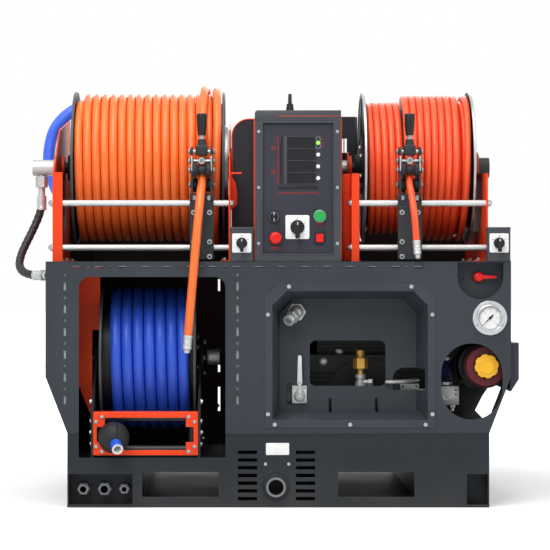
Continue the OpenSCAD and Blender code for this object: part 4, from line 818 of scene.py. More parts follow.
for side, x, upper, lower in (
    ("left", -192.325, (30.44, 844.84), (59.56, 809.17)),
    ("right", 331.625, (34.54, 845.26), (55.46, 808.74)),
):
    body = side + "_guide"
    lever = side + "_guide_lever"
    # web of the yoke above the upper rail, where it laps over the carriage
    web = block("yoke_web", (x - 30, 34.5, 752), (x + 30, 39, 786), 0.8)
    links = [block("link", (x + reach - 2, 19.5, 842), (x + reach + 2, 23.2, 880), 1)
             for reach in (-24.5, 24.5)]
    bars = [turned("bar", [(-22, 0), (-22, 4.4), (22, 4.4), (22, 0)], place(x, *yoke_tie), rightward, 16)]
    for way in (-1, 1):
        pin = [(15.4, 0), (15.4, 5), (22.2, 5), (22.2, 0)]
        bars.append(turned("bar", pin, place(x, *lever_pivot), (way, 0, 0), 16))
    ring_nut = turned("ring_nut", [(0, 4), (0, 8.5), (1, 9), (4.5, 9), (5.5, 8.2), (5.5, 4), (0, 4)],
                      place(x, 36, 868), forward, 24)
    screws = [socket_screw(place(x + reach, front, z), forward, 6.6, 4.8)
              for reach in (-20, 20) for front, z in ((33, 627), (33, 664), (33, 738), (34.5, 775))]
    nuts = [dome_nut(place(x + way * 30.6, y, z), (way, 0, 0), 6.6, 4.0)
            for way in (-1, 1) for y, z in (upper, lower, lever_pivot, yoke_tie)]
    fit(joined(side + "_yoke_web", [web]), body, guide_coat, "black_metal")
    fit(joined(side + "_guide_bars", links + bars + [ring_nut]), body, bolt_steel, "steel")
    fit(joined(side + "_guide_fasteners", screws + nuts), body, bolt_steel, "steel")
    forged, neck, grip = guide_lever(x)
    fit(forged, lever, guide_coat, "black_metal", lever).name = side + "_lever_block"
    fit(neck, lever, bolt_steel, "steel").name = side + "_lever_neck"
    fit(grip, lever, black_plastic, "black_plastic").name = side + "_lever_grip"


# Bay of the supply reel: two folded black arms carry the reel in flange bearings. An orange fairlead
# with four rollers is bolted between them, and a split rubber ball is clamped on the hose in front.
def outline_plate(name, outline, front, thick, round_over=0.5):
    """A plate cut from sheet: an outline of (X, height), from its front face to the back, edges broken."""
    mesh = bpy.data.meshes.new(name)
    mesh.from_pydata([place(x, front, z) for x, z in outline], [], [tuple(range(len(outline)))])
    piece = bpy.data.objects.new(name, mesh)
    scene.collection.objects.link(piece)
    select_only(piece)
    bpy.ops.object.mode_set(mode="EDIT")
    bpy.ops.mesh.select_all(action="SELECT")
    bpy.ops.mesh.extrude_region_move(TRANSFORM_OT_translate={"value": (0, thick / 1000, 0)})
    bpy.ops.mesh.select_all(action="SELECT")
    bpy.ops.mesh.normals_make_consistent(inside=False)
    bpy.ops.object.mode_set(mode="OBJECT")
    return edges_broken(piece, round_over)


def rounded(x0, x1, z0, z1, r, steps=6):
    """Outline of a rectangle with round corners."""
    corners = ((x1 - r, z1 - r, 0), (x0 + r, z1 - r, 90), (x0 + r, z0 + r, 180), (x1 - r, z0 + r, 270))
    points = []
    for x, z, first in corners:
        for i in range(steps + 1):
            a = math.radians(first + 90 * i / steps)
            points.append((x + r * math.cos(a), z + r * math.sin(a)))
    return points


def cut_out(piece, cutter):
    """Cut one piece out of another, and drop it."""
    select_only(piece)
    cut = piece.modifiers.new("cut", "BOOLEAN")
    cut.operation = "DIFFERENCE"
    cut.solver = "EXACT"
    cut.object = cutter
    bpy.ops.object.modifier_apply(modifier=cut.name)
    bpy.data.objects.remove(cutter)
    return piece


roller_black = moulded("roller_nylon", "#232528", 0.34)
paint_nodes(black_coat, "reel_bracket")
paint_nodes(frame_orange, "fairlead_frame")
paint_nodes(roller_black, "lead_roller_top", "lead_roller_bottom", "lead_roller_left", "lead_roller_right")

fairlead = outline_plate("fairlead_face", rounded(-463, -201, 130, 238, 3), 1.2, 2.8, 0.6)
cut_out(fairlead, block("window", (-454, -5, 163), (-212, 10, 201), 0))
cut_out(fairlead, block("window", (-434, -5, 143), (-231, 10, 224), 0))
fit(smooth(fairlead), "chassis", frame_orange, "frame_orange")
lead_screws = [socket_screw(place(x, 1.2, z), forward, 4.6, 3.6)
               for x, z in ((-441, 226.5), (-456, 214), (-224.5, 226.5), (-209.5, 214),
                            (-456, 152), (-441, 139.5), (-209.5, 152), (-224.5, 139.5))]
fit_chassis("fairlead_screws", lead_screws, bolt_steel, "steel")

bearings, bearing_bolts = [], []
for arm_x, side in ((-469, -1), (-194.9, 1)):
    at, way = place(arm_x, *supply_reel_axis), (side, 0, 0)
    bearings.append(turned("bearing", [(0, 19), (0, 51), (4, 51), (5, 49), (5, 30), (12, 27), (14, 24),
                                       (14, 19), (0, 19)], at, way, 40))
    bearing_bolts += [hex_bolt(place(arm_x + side * 5, *spot), way, 10, 6)
                      for spot in around(supply_reel_axis, 40, 4)]
    for y, z in ((40, 184), (40, 262), (300, 150)):
        bearing_bolts.append(hex_bolt(place(arm_x, y, z), way, 10, 6))
fit_chassis("supply_bearings", bearings, black_coat, "black_metal")
fit_chassis("supply_bearing_bolts", bearing_bolts, bolt_steel, "steel")

hose_way = (supply_stops[-1] - supply_stops[-2]).normalized()
ball_centre = supply_stops[-2] + 0.42 * (supply_stops[-1] - supply_stops[-2])
arc = [math.radians(-67 + 134 * i / 22) for i in range(23)]
ball_profile = [(-36, 14.4)] + [(39 * math.sin(a), 39 * math.cos(a)) for a in arc]
ball_profile += [(36, 14.4), (-36, 14.4)]
ball = turned("split_rubber_ball", ball_profile, ball_centre, hose_way, 48)
split_way = hose_way.cross(Vector((0.12, 0, 1))).normalized()
cut_out(ball, turned("split", ring_band(-0.9, 0.9, 36, 44), ball_centre, split_way, 48))
fit(smooth(ball), "chassis", black_rubber, "black_plastic", "hose_stop")

# Rotary union of the supply reel: a steel barrel with two hexagons.
unions = [turned("hexagon", [(0, 0), (0, 21), (12, 21), (13, 19), (13, 0)],
                 place(-190, *supply_reel_axis), rightward, 6),
          turned("collar", [(20, 0), (20, 19.5), (42, 19.5), (46, 18.4), (46, 0)],
                 place(-194.9, *supply_reel_axis), rightward)]
fit_chassis("supply_union", unions, zinc, "steel")
paint_nodes(zinc, "swivels")


# Control box: a folded steel box with a screwed frame around a recessed panel. The panel holds four dark
# display windows, signal lamps, a key switch, a stop, a cam switch, a start button and a rocker.
box_grey = powder_coat("control_box_coat", "#43454a", "#70747a", 0.45)
fascia_grey = powder_coat("fascia_foil", "#32333c", "#55565e", 0.5)
window_black = moulded("smoked_window", "#17181c", 0.16, 200)
white_plastic = moulded("white_plastic", "#eeeeec", 0.4)
red_plastic = moulded("red_plastic", "#dd1d1c", 0.34)
green_plastic = moulded("green_plastic", "#23a850", 0.34)
red_ink = moulded("red_print", "#b3222c", 0.5)
grey_ink = moulded("grey_print", "#8e9096", 0.5)
paint_nodes(box_grey, "control_box")
paint_nodes(fascia_grey, "control_panel")
paint_nodes(window_black, "display_module")
paint_nodes(red_plastic, "rocker")


def lit_lens(name, colour, strength):
    """Lens of a signal lamp that is lit from behind, with a faint mottle."""
    paint, tree, shader, where = finish_material(name)
    glow = blend_colours(tree, noise(tree, where, 240, 2), linear(colour, 0.8), linear(colour))
    lit = {"Emission Color": glow, "Emission Strength": strength}
    wire(tree, shader, {"Base Color": glow, "Roughness": 0.3, **lit})
    return paint


# Folded edges of the box: the lighter lip around the recess, and orange cheek plates behind its sides.
lip = outline_plate("recess_lip", rounded(-42, 141, 631, 965, 2.5), 3.6, 1.6, 0.5)
cut_out(lip, block("opening", (-39, 0, 634), (138, 9, 962), 0))
lid = outline_plate("lid", [(-58.4, 967), (-58.4, 989), (-54, 993.4), (157.4, 993.4), (157.4, 967)],
                    4.6, 110.6, 0.8)
fit_chassis("control_box_folds", [smooth(lip), lid], box_grey, "panel_grey")
cheeks = [block("cheek", (-61, 16, 618), (-58, 114, 974), 0.5),
          block("cheek", (157, 16, 618), (160, 114, 974), 0.5),
          block("cheek", (0, 3.8, 977.9), (155, 6, 979.1), 0.3)]
fit_chassis("control_box_cheeks", cheeks, frame_orange, "frame_orange")
antenna_profile = [(-0.5, 0), (-0.5, 10.5), (4, 10.3), (10, 9.4), (20.5, 8.3), (21.5, 4.9), (44, 4.5),
                   (46, 3.4), (46, 0)]
antenna = turned("antenna_cover", antenna_profile, place(30.5, 65, 993), upward, 24)
fit(antenna, "chassis", black_plastic, "black_plastic")


# Display: thin frames around the windows, two grooves, and a plain scale of ticks beside each groove.
def printed_tick(x0, z0, x1, z1):
    """A tick printed on the panel, between two corners in the front view."""
    return block("tick", (x0, 10.3, z0), (x1, 11.2, z1), 0)


window_z = [912 - 29.5 * i for i in range(4)]
frames = []
for z in window_z:
    frames.append(block("bar", (22.4, 8.9, z - 15.4), (93.4, 11.4, z - 14), 0.2))
frames += [block("bar", (14.6, 8.9, 808), (21.8, 11.4, 929), 0.4),
           block("bar", (22.4, 8.9, 926.2), (93.4, 11.4, 927.6), 0.2)]
fit_chassis("window_bars", frames, box_grey, "panel_grey")
grooves = [block("groove", (4.5, 9.8, 809), (9.5, 11.6, 929), 0.6),
           block("groove", (0, 9.8, 796), (100, 11.6, 802.5), 0.6)]
fit_chassis("display_grooves", grooves, window_black, "window_black")
ticks = [printed_tick(-0.6, 810, 0.6, 928)]
for i in range(9):
    ticks.append(printed_tick(-4.5 - 3 * (i % 4 == 0), 811 + 14.4 * i, -0.6, 812 + 14.4 * i))
ticks.append(printed_tick(0, 787, 100, 788))
for i in range(11):
    ticks.append(printed_tick(0.4 + 9.84 * i, 782 - 2 * (i % 5 == 0), 1.6 + 9.84 * i, 787))
ticks += [printed_tick(107.5, z, 114.5, z + 1.4) for z in (920, 912, 903)]
ticks += [printed_tick(94, 705 + 4.5 * i, 115, 706.4 + 4.5 * i) for i in range(2)]
ticks += [printed_tick(-18, 645 + 4.5 * i, 5, 646.4 + 4.5 * i) for i in range(2)]
sign_ring = ring_band(0, 0.7, 3.4, 5.2)
signs = [turned("sign", sign_ring, place(-12, 11, z), forward, 20) for z in (898, 840)]
fit_chassis("panel_scales", ticks + signs, red_ink, "red_plastic")
lamp_dome = [(-0.5, 0), (-0.5, 4.8), (2.6, 4.8), (3.6, 4.2), (4.4, 2.6), (4.7, 0)]
lamps = [turned("lamp", lamp_dome, place(100, 11, z), forward, 24) for z in window_z]
fit(lamps[0], "chassis", lit_lens("green_lens", "#8ee84a", 0.9), "green_plastic").name = "running_lamp"
fit_chassis("signal_lamps", lamps[1:], lit_lens("white_lens", "#f4f4f2", 0.25), "white_plastic")
lamp_frame = outline_plate("lamp_frame", rounded(94.2, 105.8, 898, 927, 1.5), 10, 1.2, 0)
cut_out(lamp_frame, block("opening", (95.4, 5, 899.2), (104.6, 15, 925.8), 0))
fit(lamp_frame, "chassis", grey_ink, "panel_grey")


# Cam switches: a white plate with round corners and a black handle that points down at rest.
def cam_handle(name, x, z, back, r, reach):
    """Skirt, dome and pointed grip of a cam switch handle, and its white index mark."""
    skirt = turned("skirt", [(-3, 0), (-3, 4), (0, 4), (0, r), (1.2, r + 0.8), (4, r + 0.8),
                             (6.5, r - 1), (7.2, r - 3.5), (7.4, 0)], place(x, back, z), forward, 40)
    half = r * 0.34
    grip = outline_plate("grip", [(x - half, z - reach + 2), (x - half + 2, z - reach),
                                  (x + half - 2, z - reach), (x + half, z - reach + 2),
                                  (x + half * 1.12, z), (x + half, z + r * 0.62),
                                  (x + half * 0.5, z + r * 0.8), (x - half * 0.5, z + r * 0.8),
                                  (x - half, z + r * 0.62), (x - half * 1.12, z)], back - 23, 19, 1.6)
    mark = block("mark", (x - 1, back - 23.7, z + r * 0.3), (x + 1, back - 22.6, z + r * 0.7), 0.3)
    return joined(name, [skirt, grip]), mark


plates = []
for switch, x, z, face, half, r, reach in (
    ("main", 48, 701, 8.5, 30, 17, 29),
    ("left", -91.4, 661, 2.5, 24, 13, 22.5),
    ("right", 552.5, 661, 2.5, 24, 13, 22.5),
):
    plates.append(outline_plate("plate", rounded(x - half, x + half, z - half, z + half, half * 0.14),
                                face, 2.6, 0.7))
    body = switch + "_switch_knob"
    handle, mark = cam_handle(switch + "_switch_handle", x, z, face - 0.4, r, reach)
    fit(handle, body, black_plastic, "black_plastic", body)
    fit(mark, body, white_plastic, "white_plastic").name = switch + "_switch_mark"
    dial = [block("dash", (x - 0.6, face - 0.35, z + r + 3), (x + 0.6, face + 0.2, z + r + 6.5), 0)]
    dial += [swung_copy(dial[0], place(x, face, z), math.radians(angle)) for angle in (-60, 60)]
    fit(joined(switch + "_switch_dashes", dial), "chassis", black_plastic, "black_plastic")
plates.append(outline_plate("plate", rounded(-31, 27, 131, 161, 2), -1.2, 1.4, 0.3))
fit_chassis("white_plates", plates, white_plastic, "white_plastic", "switch_plates")
switch_lids = []
for x in (-91.4, 552.5):
    switch_lids.append(block("lid", (x - 29.4, 4, 695), (x + 29.4, 41, 701), 1.5))
    switch_lids.append(block("lid", (x - 29.4, 4.2, 615.2), (x + 29.4, 41, 619), 1))
fit_chassis("switch_box_lids", switch_lids, box_grey, "panel_grey")


# Buttons: a red mushroom stop, a green start button and a key in a barrel with a bright ring.
stop_x, stop_z = -7, 673.5
start_x, start_z = 104, 728
key_x, key_z = -11, 726
stop_profile = [(-13, 0), (-13, 7.9), (0, 7.9), (0.3, 14), (2, 15.4), (5, 15.4), (8, 13.6), (9.6, 10),
                (10.2, 5), (10.3, 0)]
stop_cap = turned("stop_mushroom", stop_profile, place(stop_x, 0.7, stop_z), forward, 40)
fit(stop_cap, "stop_button", red_plastic, "red_plastic", "stop_button")
start_profile = [(-12, 0), (-12, 11.9), (0, 11.9), (0, 13.4), (0.6, 14), (3, 14), (4, 13), (4.3, 10),
                 (3.8, 0)]
start_cap = turned("start_cap", start_profile, place(start_x, 0.7, start_z), forward, 40)
fit(start_cap, "start_button", green_plastic, "green_plastic", "start_button")
collars = [turned("collar", [(0, 12.3), (0, 16.2), (4, 16.2), (5.3, 14.8), (5.3, 12.3), (0, 12.3)],
                  place(start_x, 11, start_z), forward, 40),
           turned("collar", [(0, 10.5), (0, 12.6), (2, 12.6), (3, 11.8), (3, 10.5), (0, 10.5)],
                  place(key_x, 4.2, key_z), forward, 32)]
fit_chassis("button_rings", collars, bolt_steel, "chrome")
barrel_profile = [(0, 11.1), (0, 14.5), (3, 14.5), (5, 13), (8, 12.6), (10.2, 11.4), (10.2, 3.4), (9, 3.4),
                  (9, 11.1), (0, 11.1)]
key_barrel = [turned("barrel", barrel_profile, place(key_x, 11, key_z), forward, 36),
              turned("collar", [(0, 8.4), (0, 17.6), (4, 17.6), (5.2, 16.2), (5.2, 8.4), (0, 8.4)],
                     place(stop_x, 11, stop_z), forward, 40)]
fit_chassis("key_barrel", key_barrel, black_plastic, "black_plastic")
bow = outline_plate("key_bow", rounded(-12.3, -9.7, 715, 737, 1.2), -29.3, 20, 0.5)
blade = turned("key_blade", [(0, 0), (0, 2.9), (20, 2.9), (20, 0)], place(key_x, 8.5, key_z), forward, 16)
bow_ring = turned("key_bow_ring", [(0, 3.2), (0, 9.8), (1.6, 11), (4, 11), (5.6, 9.8), (5.6, 3.2), (0, 3.2)],
                  place(-13.8, -19, key_z), rightward, 32)
fit(joined("key", [blade, bow]), "ignition_key", bolt_steel, "steel", "ignition_key")
fit(bow_ring, "ignition_key", black_plastic, "black_plastic").name = "key_grip"
rocker_frame = outline_plate("rocker_frame", rounded(91.5, 116.5, 659, 689, 2), 6.2, 5, 0.8)
cut_out(rocker_frame, block("opening", (94.6, 0, 662.2), (113.4, 20, 685.8), 0))
fit(smooth(rocker_frame), "chassis", black_plastic, "black_plastic")


# Right of the front: a red valve lever in a round recess, a flange-mounted pressure gauge, and behind an
# oval opening the air filter with its yellow service cap, its ribbed hose and the throttle body below.
chrome = brushed_steel("polished_steel", "#c4c7ca", 0.2, (300, 20, 300), 0.95)
dial_white = moulded("dial_card", "#f1f1ee", 0.5)
yellow_plastic = moulded("yellow_plastic", "#f4b62a", 0.38)
dark_red_rubber = moulded("dark_red_rubber", "#5a1720", 0.5)
filter_black = moulded("filter_plastic", "#101112", 0.6, 300)
navy_rubber = moulded("intake_rubber", "#1b2950", 0.45)
cast_alloy = cast_metal("cast_alloy", "#c6c8c8", 0.46, 0.6)
paint_nodes(filter_black, "air_filter")
paint_nodes(navy_rubber, "intake_hose")

valve_x, valve_z = 504, 576
hub = turned("hub", [(-15, 0), (-15, 3.9), (0, 3.9), (0, 13), (6, 13), (9, 11.5), (11.5, 8), (12.5, 0)],
             place(valve_x, 33.7, valve_z), forward, 32)
handle = outline_plate("handle", [(504, 581), (516, 581.6), (546, 579.2), (550, 577), (550, 574),
                                  (546, 572.4), (516, 570.4), (504, 571)], 23.7, 8, 2.2)
fit(joined("valve_lever", [hub, handle]), "red_lever", red_plastic, "red_plastic", "red_lever")
seat = turned("valve_seat", [(0, 8), (0, 15), (2.5, 15), (3.5, 13.5), (3.5, 8), (0, 8)],
              place(valve_x, 40, valve_z), forward, 32)
dowel_profile = [(-0.3, 0), (-0.3, 3), (1.2, 3), (1.8, 2), (1.8, 0)]
dowel = turned("dowel", dowel_profile, place(466, 40, 572), forward, 16)
fit_chassis("valve_seat", [seat, dowel], black_coat, "black_metal")

gauge_x, gauge_z = 529, 473.5
gauge = place(gauge_x, 0, gauge_z)
case = turned("gauge_case", [(-30, 0), (-30, 26), (-28, 28), (-0.1, 28), (-0.1, 42.4), (0.5, 43),
                             (2.4, 43), (3, 42.4), (3, 34), (10.5, 34), (13.2, 33.2), (14, 32.2),
                             (13.6, 31), (12.8, 30.6), (4.9, 30.6), (4.9, 2), (-20, 2), (-20, 0)],
              gauge, forward, 64)
fit(case, "chassis", chrome, "chrome", "pressure_gauge")
card = turned("gauge_dial", ring_band(4.7, 5.5, 3.3, 30.5), gauge, forward, 56)
fit(card, "chassis", dial_white, "white_plastic")
ticks = []
for half, low, high in ((0.45, 20.5, 28), (0.3, 24.2, 28), (0.4, 14.5, 17)):
    ticks.append(block("tick", (gauge_x - half, -5.9, gauge_z + low),
                       (gauge_x + half, -5.4, gauge_z + high), 0))
long_tick, short_tick, inner_tick = ticks
scale = [turned("arc", ring_band(5.4, 5.9, 27.8, 28.6), gauge, forward, 56)]
for i in range(31):
    angle = math.radians(9 * i - 135)
    scale.append(swung_copy(short_tick if i % 5 else long_tick, gauge, angle))
    if i % 5 == 0:
        scale.append(swung_copy(inner_tick, gauge, angle))
for tick in ticks:
    bpy.data.objects.remove(tick)
fit_chassis("gauge_scale", scale, black_plastic, "black_plastic")
needle_outline = [(-25, 0.2), (-8, 1.1), (0, 1.5), (8, 2.2), (11, 1.6), (11, -1.6), (8, -2.2),
                  (0, -1.5), (-8, -1.1), (-25, -0.2)]
needle = outline_plate("pointer", [(gauge_x + a, gauge_z + b) for a, b in needle_outline], -8.2, 1, 0.2)
swing(needle, gauge, math.radians(-45))
boss_profile = [(-0.5, 0), (-0.5, 1.4), (6.2, 1.4), (6.2, 3.6), (9.2, 3.2), (9.4, 0)]
boss = turned("boss", boss_profile, gauge, forward, 24)
fit(joined("gauge_pointer", [needle, boss]), "gauge_needle", black_plastic, "black_plastic", "gauge_needle")

filter_x, filter_z = 523, 352
cap_outline = []
for i in range(48):
    r = 30.4 if i % 6 < 4 else 28
    a = math.pi * i / 24
    cap_outline.append((filter_x + r * math.cos(a), filter_z + r * math.sin(a)))
cap = outline_plate("cap", cap_outline, 14, 18, 1.4)
raised = turned("raised", [(-1, 0), (-1, 20), (0.6, 20), (1.4, 19), (1.4, 15), (0.6, 14), (0.6, 0)],
                place(filter_x, 14, filter_z), forward, 40)
fit(joined("service_cap", [cap, raised]), "filter_cap", yellow_plastic, "yellow_plastic", "filter_cap")
ring = turned("filter_seal_ring", [(-0.5, 49.05), (-0.5, 52.5), (9, 52.5), (12.5, 49.5), (13, 46),
                                   (12.6, 31.5), (12.05, 31.5), (12.05, 49.05), (-0.5, 49.05)],
              place(filter_x, 40, filter_z), forward, 56)
fit(ring, "chassis", dark_red_rubber, "red_plastic")
canister = []
for x, s, r in ((523, 20, 56.2), (523, 36, 56.2), (511, 9, 60.4), (511, -26, 60.6), (511, -90, 60.6)):
    rib_profile = [(s, 54), (s, r), (s + 3, r + 0.6), (s + 6, r), (s + 6, 54), (s, 54)]
    canister.append(turned("rib", rib_profile, place(x, 90, filter_z), forward, 56))
stay = outline_plate("stay", [(470, 296), (548, 296), (531, 271), (511, 232), (533, 209), (533, 196),
                              (430, 196), (430, 244), (470, 244)], 180, 3, 0.6)
fit_chassis("filter_housing_ribs", canister + [stay], filter_black, "black_plastic")

throttle = block("throttle", (416.4, 119.2, 248.4), (463.6, 160.6, 297.9), 2)
cover = turned("cover", [(-1, 0), (-1, 9), (3, 9), (4, 8), (4, 3.5), (2, 3), (2, 0)],
               place(428.5, 119.2, 269), forward, 28)
fit_chassis("throttle_body", [throttle, cover], cast_alloy, "cast_alloy")
plug_profile = [(-1, 0), (-1, 2.6), (0.5, 2.4), (0.5, 0)]
plugs = [turned("plug", plug_profile, place(455.5, 119.2, z), forward, 16) for z in (287, 276)]
fit_chassis("throttle_plugs", plugs, black_plastic, "black_plastic")
drain = [turned("nut", [(0, 0), (0, 8), (7, 8), (8, 7), (8, 0)], place(447, 136, 249), downward, 6),
         turned("stem", [(7, 0), (7, 5), (16, 5), (16, 0)], place(447, 136, 249), downward, 20)]
clamp_ring = ring_band(0, 7, 13.1, 14.2)
clamps = [turned("clamp", clamp_ring, place(434, 140, z), upward, 36) for z in (300, 363)]
fit_chassis("intake_fittings", drain + clamps, zinc, "steel")


# Service tray and what it opens on: the jetting outlet with its ball valve, and through the windows the
# brass relief valve on the pump, the by-pass pipe, and the dark cowl of the engine behind.
brass = cast_metal("brass", "#d8a54c", 0.32, 0.45)
engine_paint = cast_metal("engine_paint", "#2a2c2f", 0.5, 0.1)
lever_sleeve = moulded("lever_sleeve", "#e6e7e4", 0.42)
paint_nodes(engine_paint, "engine", "pump")
paint_nodes(cast_alloy, "valve_bodies")

spout_way = Vector((-0.45, -0.75, -0.45)).normalized()
outlet = place(48, 90, 487)
fittings = [turned("nut", [(0, 17.6), (0, 23), (1.5, 25), (10, 25), (11.5, 23), (11.5, 17.6),
                           (0, 17.6)], place(48, 110, 487), forward, 6),
            turned("collar", [(18, 13.6), (18, 17), (19.5, 18.5), (29, 18.5), (30.5, 17), (30.5, 13.6),
                              (18, 13.6)], outlet, spout_way, 6),
            turned("cap", [(33, 13.6), (33, 15), (47, 15), (49, 14), (49, 8.2), (47.6, 8.2),
                           (47.6, 13.6), (33, 13.6)], outlet, spout_way, 36)]
fit_chassis("outlet_fittings", fittings, cast_alloy, "chrome")
# a black gasket ring at the outlet nut, and a black block in the tray opening beside the valve plate:
# painted shade in that opening
gasket_and_opening_shade = [turned("gasket", ring_band(0, 1.2, 18, 27), place(43, 110, 483), forward, 40),
           block("gasket", (23.5, 109, 253), (37, 110.2, 306), 0.3)]
fit_chassis("tray_gasket_and_opening_shade", gasket_and_opening_shade, window_black, "black_plastic")

outlet_x, outlet_z = 56, 273
valve_plate = outline_plate("valve_plate", rounded(37, 74, 254, 299, 1.5), 105.6, 2, 0.5)
bosses = [turned("boss", [(0, 4.6), (0, 15), (4, 14), (8.6, 12.6), (8.6, 4.6), (0, 4.6)],
                 place(outlet_x, 105.6, outlet_z), forward, 36)]
bosses += [socket_screw(place(x, 105.6, z), forward, 2.6, 1.6) for x in (41, 70) for z in (294, 259)]
fit_chassis("outlet_valve_plate", [valve_plate] + bosses, zinc, "steel")
hub = turned("hub", [(-20, 0), (-20, 3.9), (0, 3.9), (0, 11), (4, 11), (8, 9.5), (8, 0)],
             place(outlet_x, 95.7, outlet_z), forward, 32)
lever_nut = turned("lever_nut", [(7.8, 0), (7.8, 6.5), (11.5, 6.5), (12.6, 5.4), (12.6, 0)],
                   place(outlet_x, 95.7, outlet_z), forward, 6)
shank = outline_plate("shank", [(49, 273), (63, 273), (60.5, 292), (60, 300), (63, 306), (63, 312),
                                (49, 312), (49, 306), (52, 300), (51.5, 292)], 89.7, 4, 0.8)
shank = joined("valve_lever_shank", [hub, lever_nut, shank])
fit(shank, "outlet_lever", bolt_steel, "steel", "outlet_lever")
sleeve = outline_plate("valve_lever_sleeve", [(49.6, 309), (62.4, 309), (60.8, 373), (58.6, 377),
                                              (53.4, 377), (51.2, 373)], 88.7, 6, 1.6)
fit(sleeve, "outlet_lever", lever_sleeve, "white_plastic")

relief_foot = place(216, 200, 294)
valve = [turned("ring", [(29.5, 0), (29.5, 9), (33, 9), (34, 8), (41, 8), (42, 10), (44.5, 10),
                         (44.5, 0)], relief_foot, upward),
         turned("hexagon", [(44, 0), (44, 17.5), (45.5, 19.4), (72, 19.4), (73.5, 17.5), (73.5, 0)],
                relief_foot, upward, 6),
         turned("bonnet", [(73, 0), (73, 12), (77, 12), (78, 11), (80, 11), (81, 12), (92, 12),
                           (93, 11), (93, 8.5), (86, 8), (86, 0)], relief_foot, upward, 36)]
fit_chassis("relief_valve_body", valve, brass, "brass", "relief_valve")
base = turned("base", [(0, 0), (0, 13.5), (9, 13.5), (11, 10.5), (18, 10.5), (20, 13.5), (29, 13.5),
                       (30, 12), (30, 0)], relief_foot, upward, 28)
branch = turned("branch", [(8, 0), (8, 8), (20, 8), (21, 10), (32, 10), (33, 9), (33, 0)],
                place(216, 200, 303), (1, -0.25, 0), 6)
manifold = block("manifold", (318, 183.4, 283), (366.5, 216.4, 300.8), 1.2)
tongue = block("tongue", (366, 184.5, 283), (384, 200, 286.5), 0.6)
fit_chassis("relief_fittings", [base, branch, manifold, tongue], cast_alloy, "cast_alloy")
hole_profile = [(-1, 0), (-1, 3), (0.5, 2.7), (0.5, 0)]
holes = [turned("hole", hole_profile, place(x, 183.4, 293.5), forward, 16) for x in (325, 359)]
fit_chassis("manifold_plugs", holes, black_plastic, "black_plastic")
bypass_route = ((276, 98, 308.5), (300, 104, 308.5), (328, 122, 309), (362, 168, 311))
bypass_stops = [place(*stop) for stop in bypass_route]
bypass = hose_tube("bypass_pipe", through(bypass_stops), 0.0056, 16)
fit(bypass, "chassis", rail_steel, "steel")
pipe_way = (bypass_stops[0] - bypass_stops[1]).normalized() + Vector((0, -0.35, 0))
bypass_end = [(-6, 5.4), (-6, 6.8), (0.6, 6.8), (1.2, 6.2), (1.2, 3), (-1.5, 2.6), (-1.5, 0)]
fit(turned("bypass_ring", bypass_end, bypass_stops[0], pipe_way), "chassis", chrome, "chrome")

# Cowl of the engine: pressed ribs, and the screws that show through the window.
ribs = [block("rib", (62, 325.4, z), (418, 331, z + 4), 1.2) for z in (296, 308, 320)]
ribs += [block("fin", (112, 376, z), (378, 381, z + 3), 0.8) for z in (384, 394, 404, 414)]
fit_chassis("engine_cowl_ribs", ribs, engine_paint, "black_metal")
cowl_bolts = [hex_bolt(place(125, 330, 352), forward, 12, 5),
              hex_bolt(place(169, 380, 376), forward, 12, 5)]
fit_chassis("engine_cowl_bolts", cowl_bolts, bolt_steel, "steel")


# Couplings at the foot: the black filling coupling with its bright throat, and three hexagon bulkhead
# unions in the notch at the left, all screwed into the base.
fitting_steel = brushed_steel("dull_fitting_steel", "#7d8083", 0.4)
paint_nodes(fitting_steel, "connectors")
collar = turned("collar", [(-0.3, 25), (-0.3, 33), (5, 33), (7.4, 31), (8, 28), (8, 25), (-0.3, 25)],
                place(-6, 0, 51), forward, 48)
# the throat and the three union linings are black tubes closed deep inside the bores: painted shade in the
# bores
throat = turned("throat", [(-44, 0), (-44, 19.2), (10.5, 19.2), (11.4, 18.6), (11.4, 17.4), (-42, 17.4),
                           (-42, 0)], place(-6, 0, 51), forward, 40)
collar_and_bore_shade, nuts = [collar, throat], []
for x, bore in ((-489.5, 8.5), (-436.5, 10), (-386.5, 6.5)):
    at = place(x, 60, 43)
    collar_and_bore_shade.append(turned("lining", [(-20, 0), (-20, bore - 0.2), (39, bore - 0.2), (39, bore - 1),
                                     (-18, bore - 1), (-18, 0)], at, forward, 28))
    nuts.append(turned("nut", [(18, bore + 3), (18, bore + 7.2), (19.5, bore + 8.8), (27, bore + 8.8),
                               (28.5, bore + 7.2), (28.5, bore + 3), (18, bore + 3)], at, forward, 6))
    nuts.append(turned("lip", [(36, bore + 2.6), (36, bore + 4), (39.6, bore + 4), (40.4, bore + 3.2),
                               (40.4, bore + 0.4), (39.6, bore + 0.4), (39.6, bore + 2.6),
                               (36, bore + 2.6)], at, forward, 28))
fit_chassis("coupling_collar_and_bore_shade", collar_and_bore_shade, black_rubber, "black_plastic")
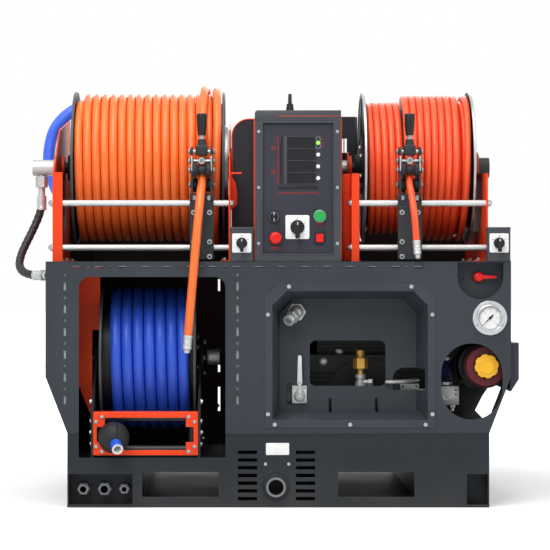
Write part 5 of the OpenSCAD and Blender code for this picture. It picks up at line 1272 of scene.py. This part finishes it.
fit_chassis("bulkhead_nuts", nuts, fitting_steel, "steel")


# Inside and around the body: the orange bulkhead beside the supply reel, light grey strips behind the bend
# slots as painted highlight, black sheets behind the left reel as painted shade, a gusset at the drive
# cover, and the screws and louvres of the rear panel.
bulkhead = outline_plate("bay_bulkhead", [(-576, 300), (-510, 297), (-475, 212), (-475, 440),
                                          (-455, 440), (-455, 611), (-576, 611)], 150, 3, 0)
gusset = outline_plate("gusset", [(-120.4, 838), (-107, 815), (-103, 790), (-103, 760), (-120.4, 745)],
                       100, 3, 0.5)
frame_return = block("frame_return", (166.6, 100, 617), (185.3, 103, 838), 0.5)
fit_chassis("orange_plates", [bulkhead, gusset, frame_return], frame_orange, "frame_orange")
# two black sheets behind the gaps beside the left reel's flanges: painted shade in those gaps; and a black
# edge on the wing
shade_sheets = [block("shade_sheet", (-563.8, 566, 616), (-500, 569, 862), 0.6),
           block("shade_sheet", (-160, 566, 616), (-124.6, 569, 800), 0.6),
           block("wing_edge", (213, 424.4, 866), (219.5, 430.6, 1006), 0.6)]
fit_chassis("shade_sheets_and_wing_edge", shade_sheets, black_coat, "black_metal")
# light grey strips behind the bend slots: painted highlight for the lit slot edges
slot_highlight_grey = powder_coat("slot_painted_highlight", "#9a9ea2", "#b5b8bb", 0.5)
backing = [block("backing", (-520, 3.2, 600.6), (440, 4.2, 606), 0)]
backing += [block("backing", (x - 5, 3.2, 255), (x + 5, 4.2, 586), 0) for x in (-534, -102)]
fit_chassis("slot_painted_highlight", backing, slot_highlight_grey, "panel_grey")
louvres = []
for x in (-250, 180):
    for i in range(9):
        louvres.append(block("louvre", (x - 70, 849.6, 300 + 26 * i), (x + 70, 855, 309 + 26 * i), 2))
fit_chassis("rear_louvres", louvres, panel_grey, "panel_grey")
screw_r, screw_h = 6, 3.5
rear_places = [(x, z) for x in (-550, -280, 0, 280, 550) for z in (340, 590)]
rear_places += [(x, 205) for x in (-480, -160, 160, 480)]
rear_screws = [socket_screw(place(x, 850, z), backward, screw_r, screw_h) for x, z in rear_places]
side_screws = []
for x, way, heights in ((-582, leftward, (350, 596)), (582, rightward, (596,))):
    for y in (40, 240, 440, 640, 810):
        side_screws += [socket_screw(place(x, y, z), way, screw_r, screw_h) for z in heights]
fit_chassis("body_screws", rear_screws + side_screws, bolt_steel, "steel")
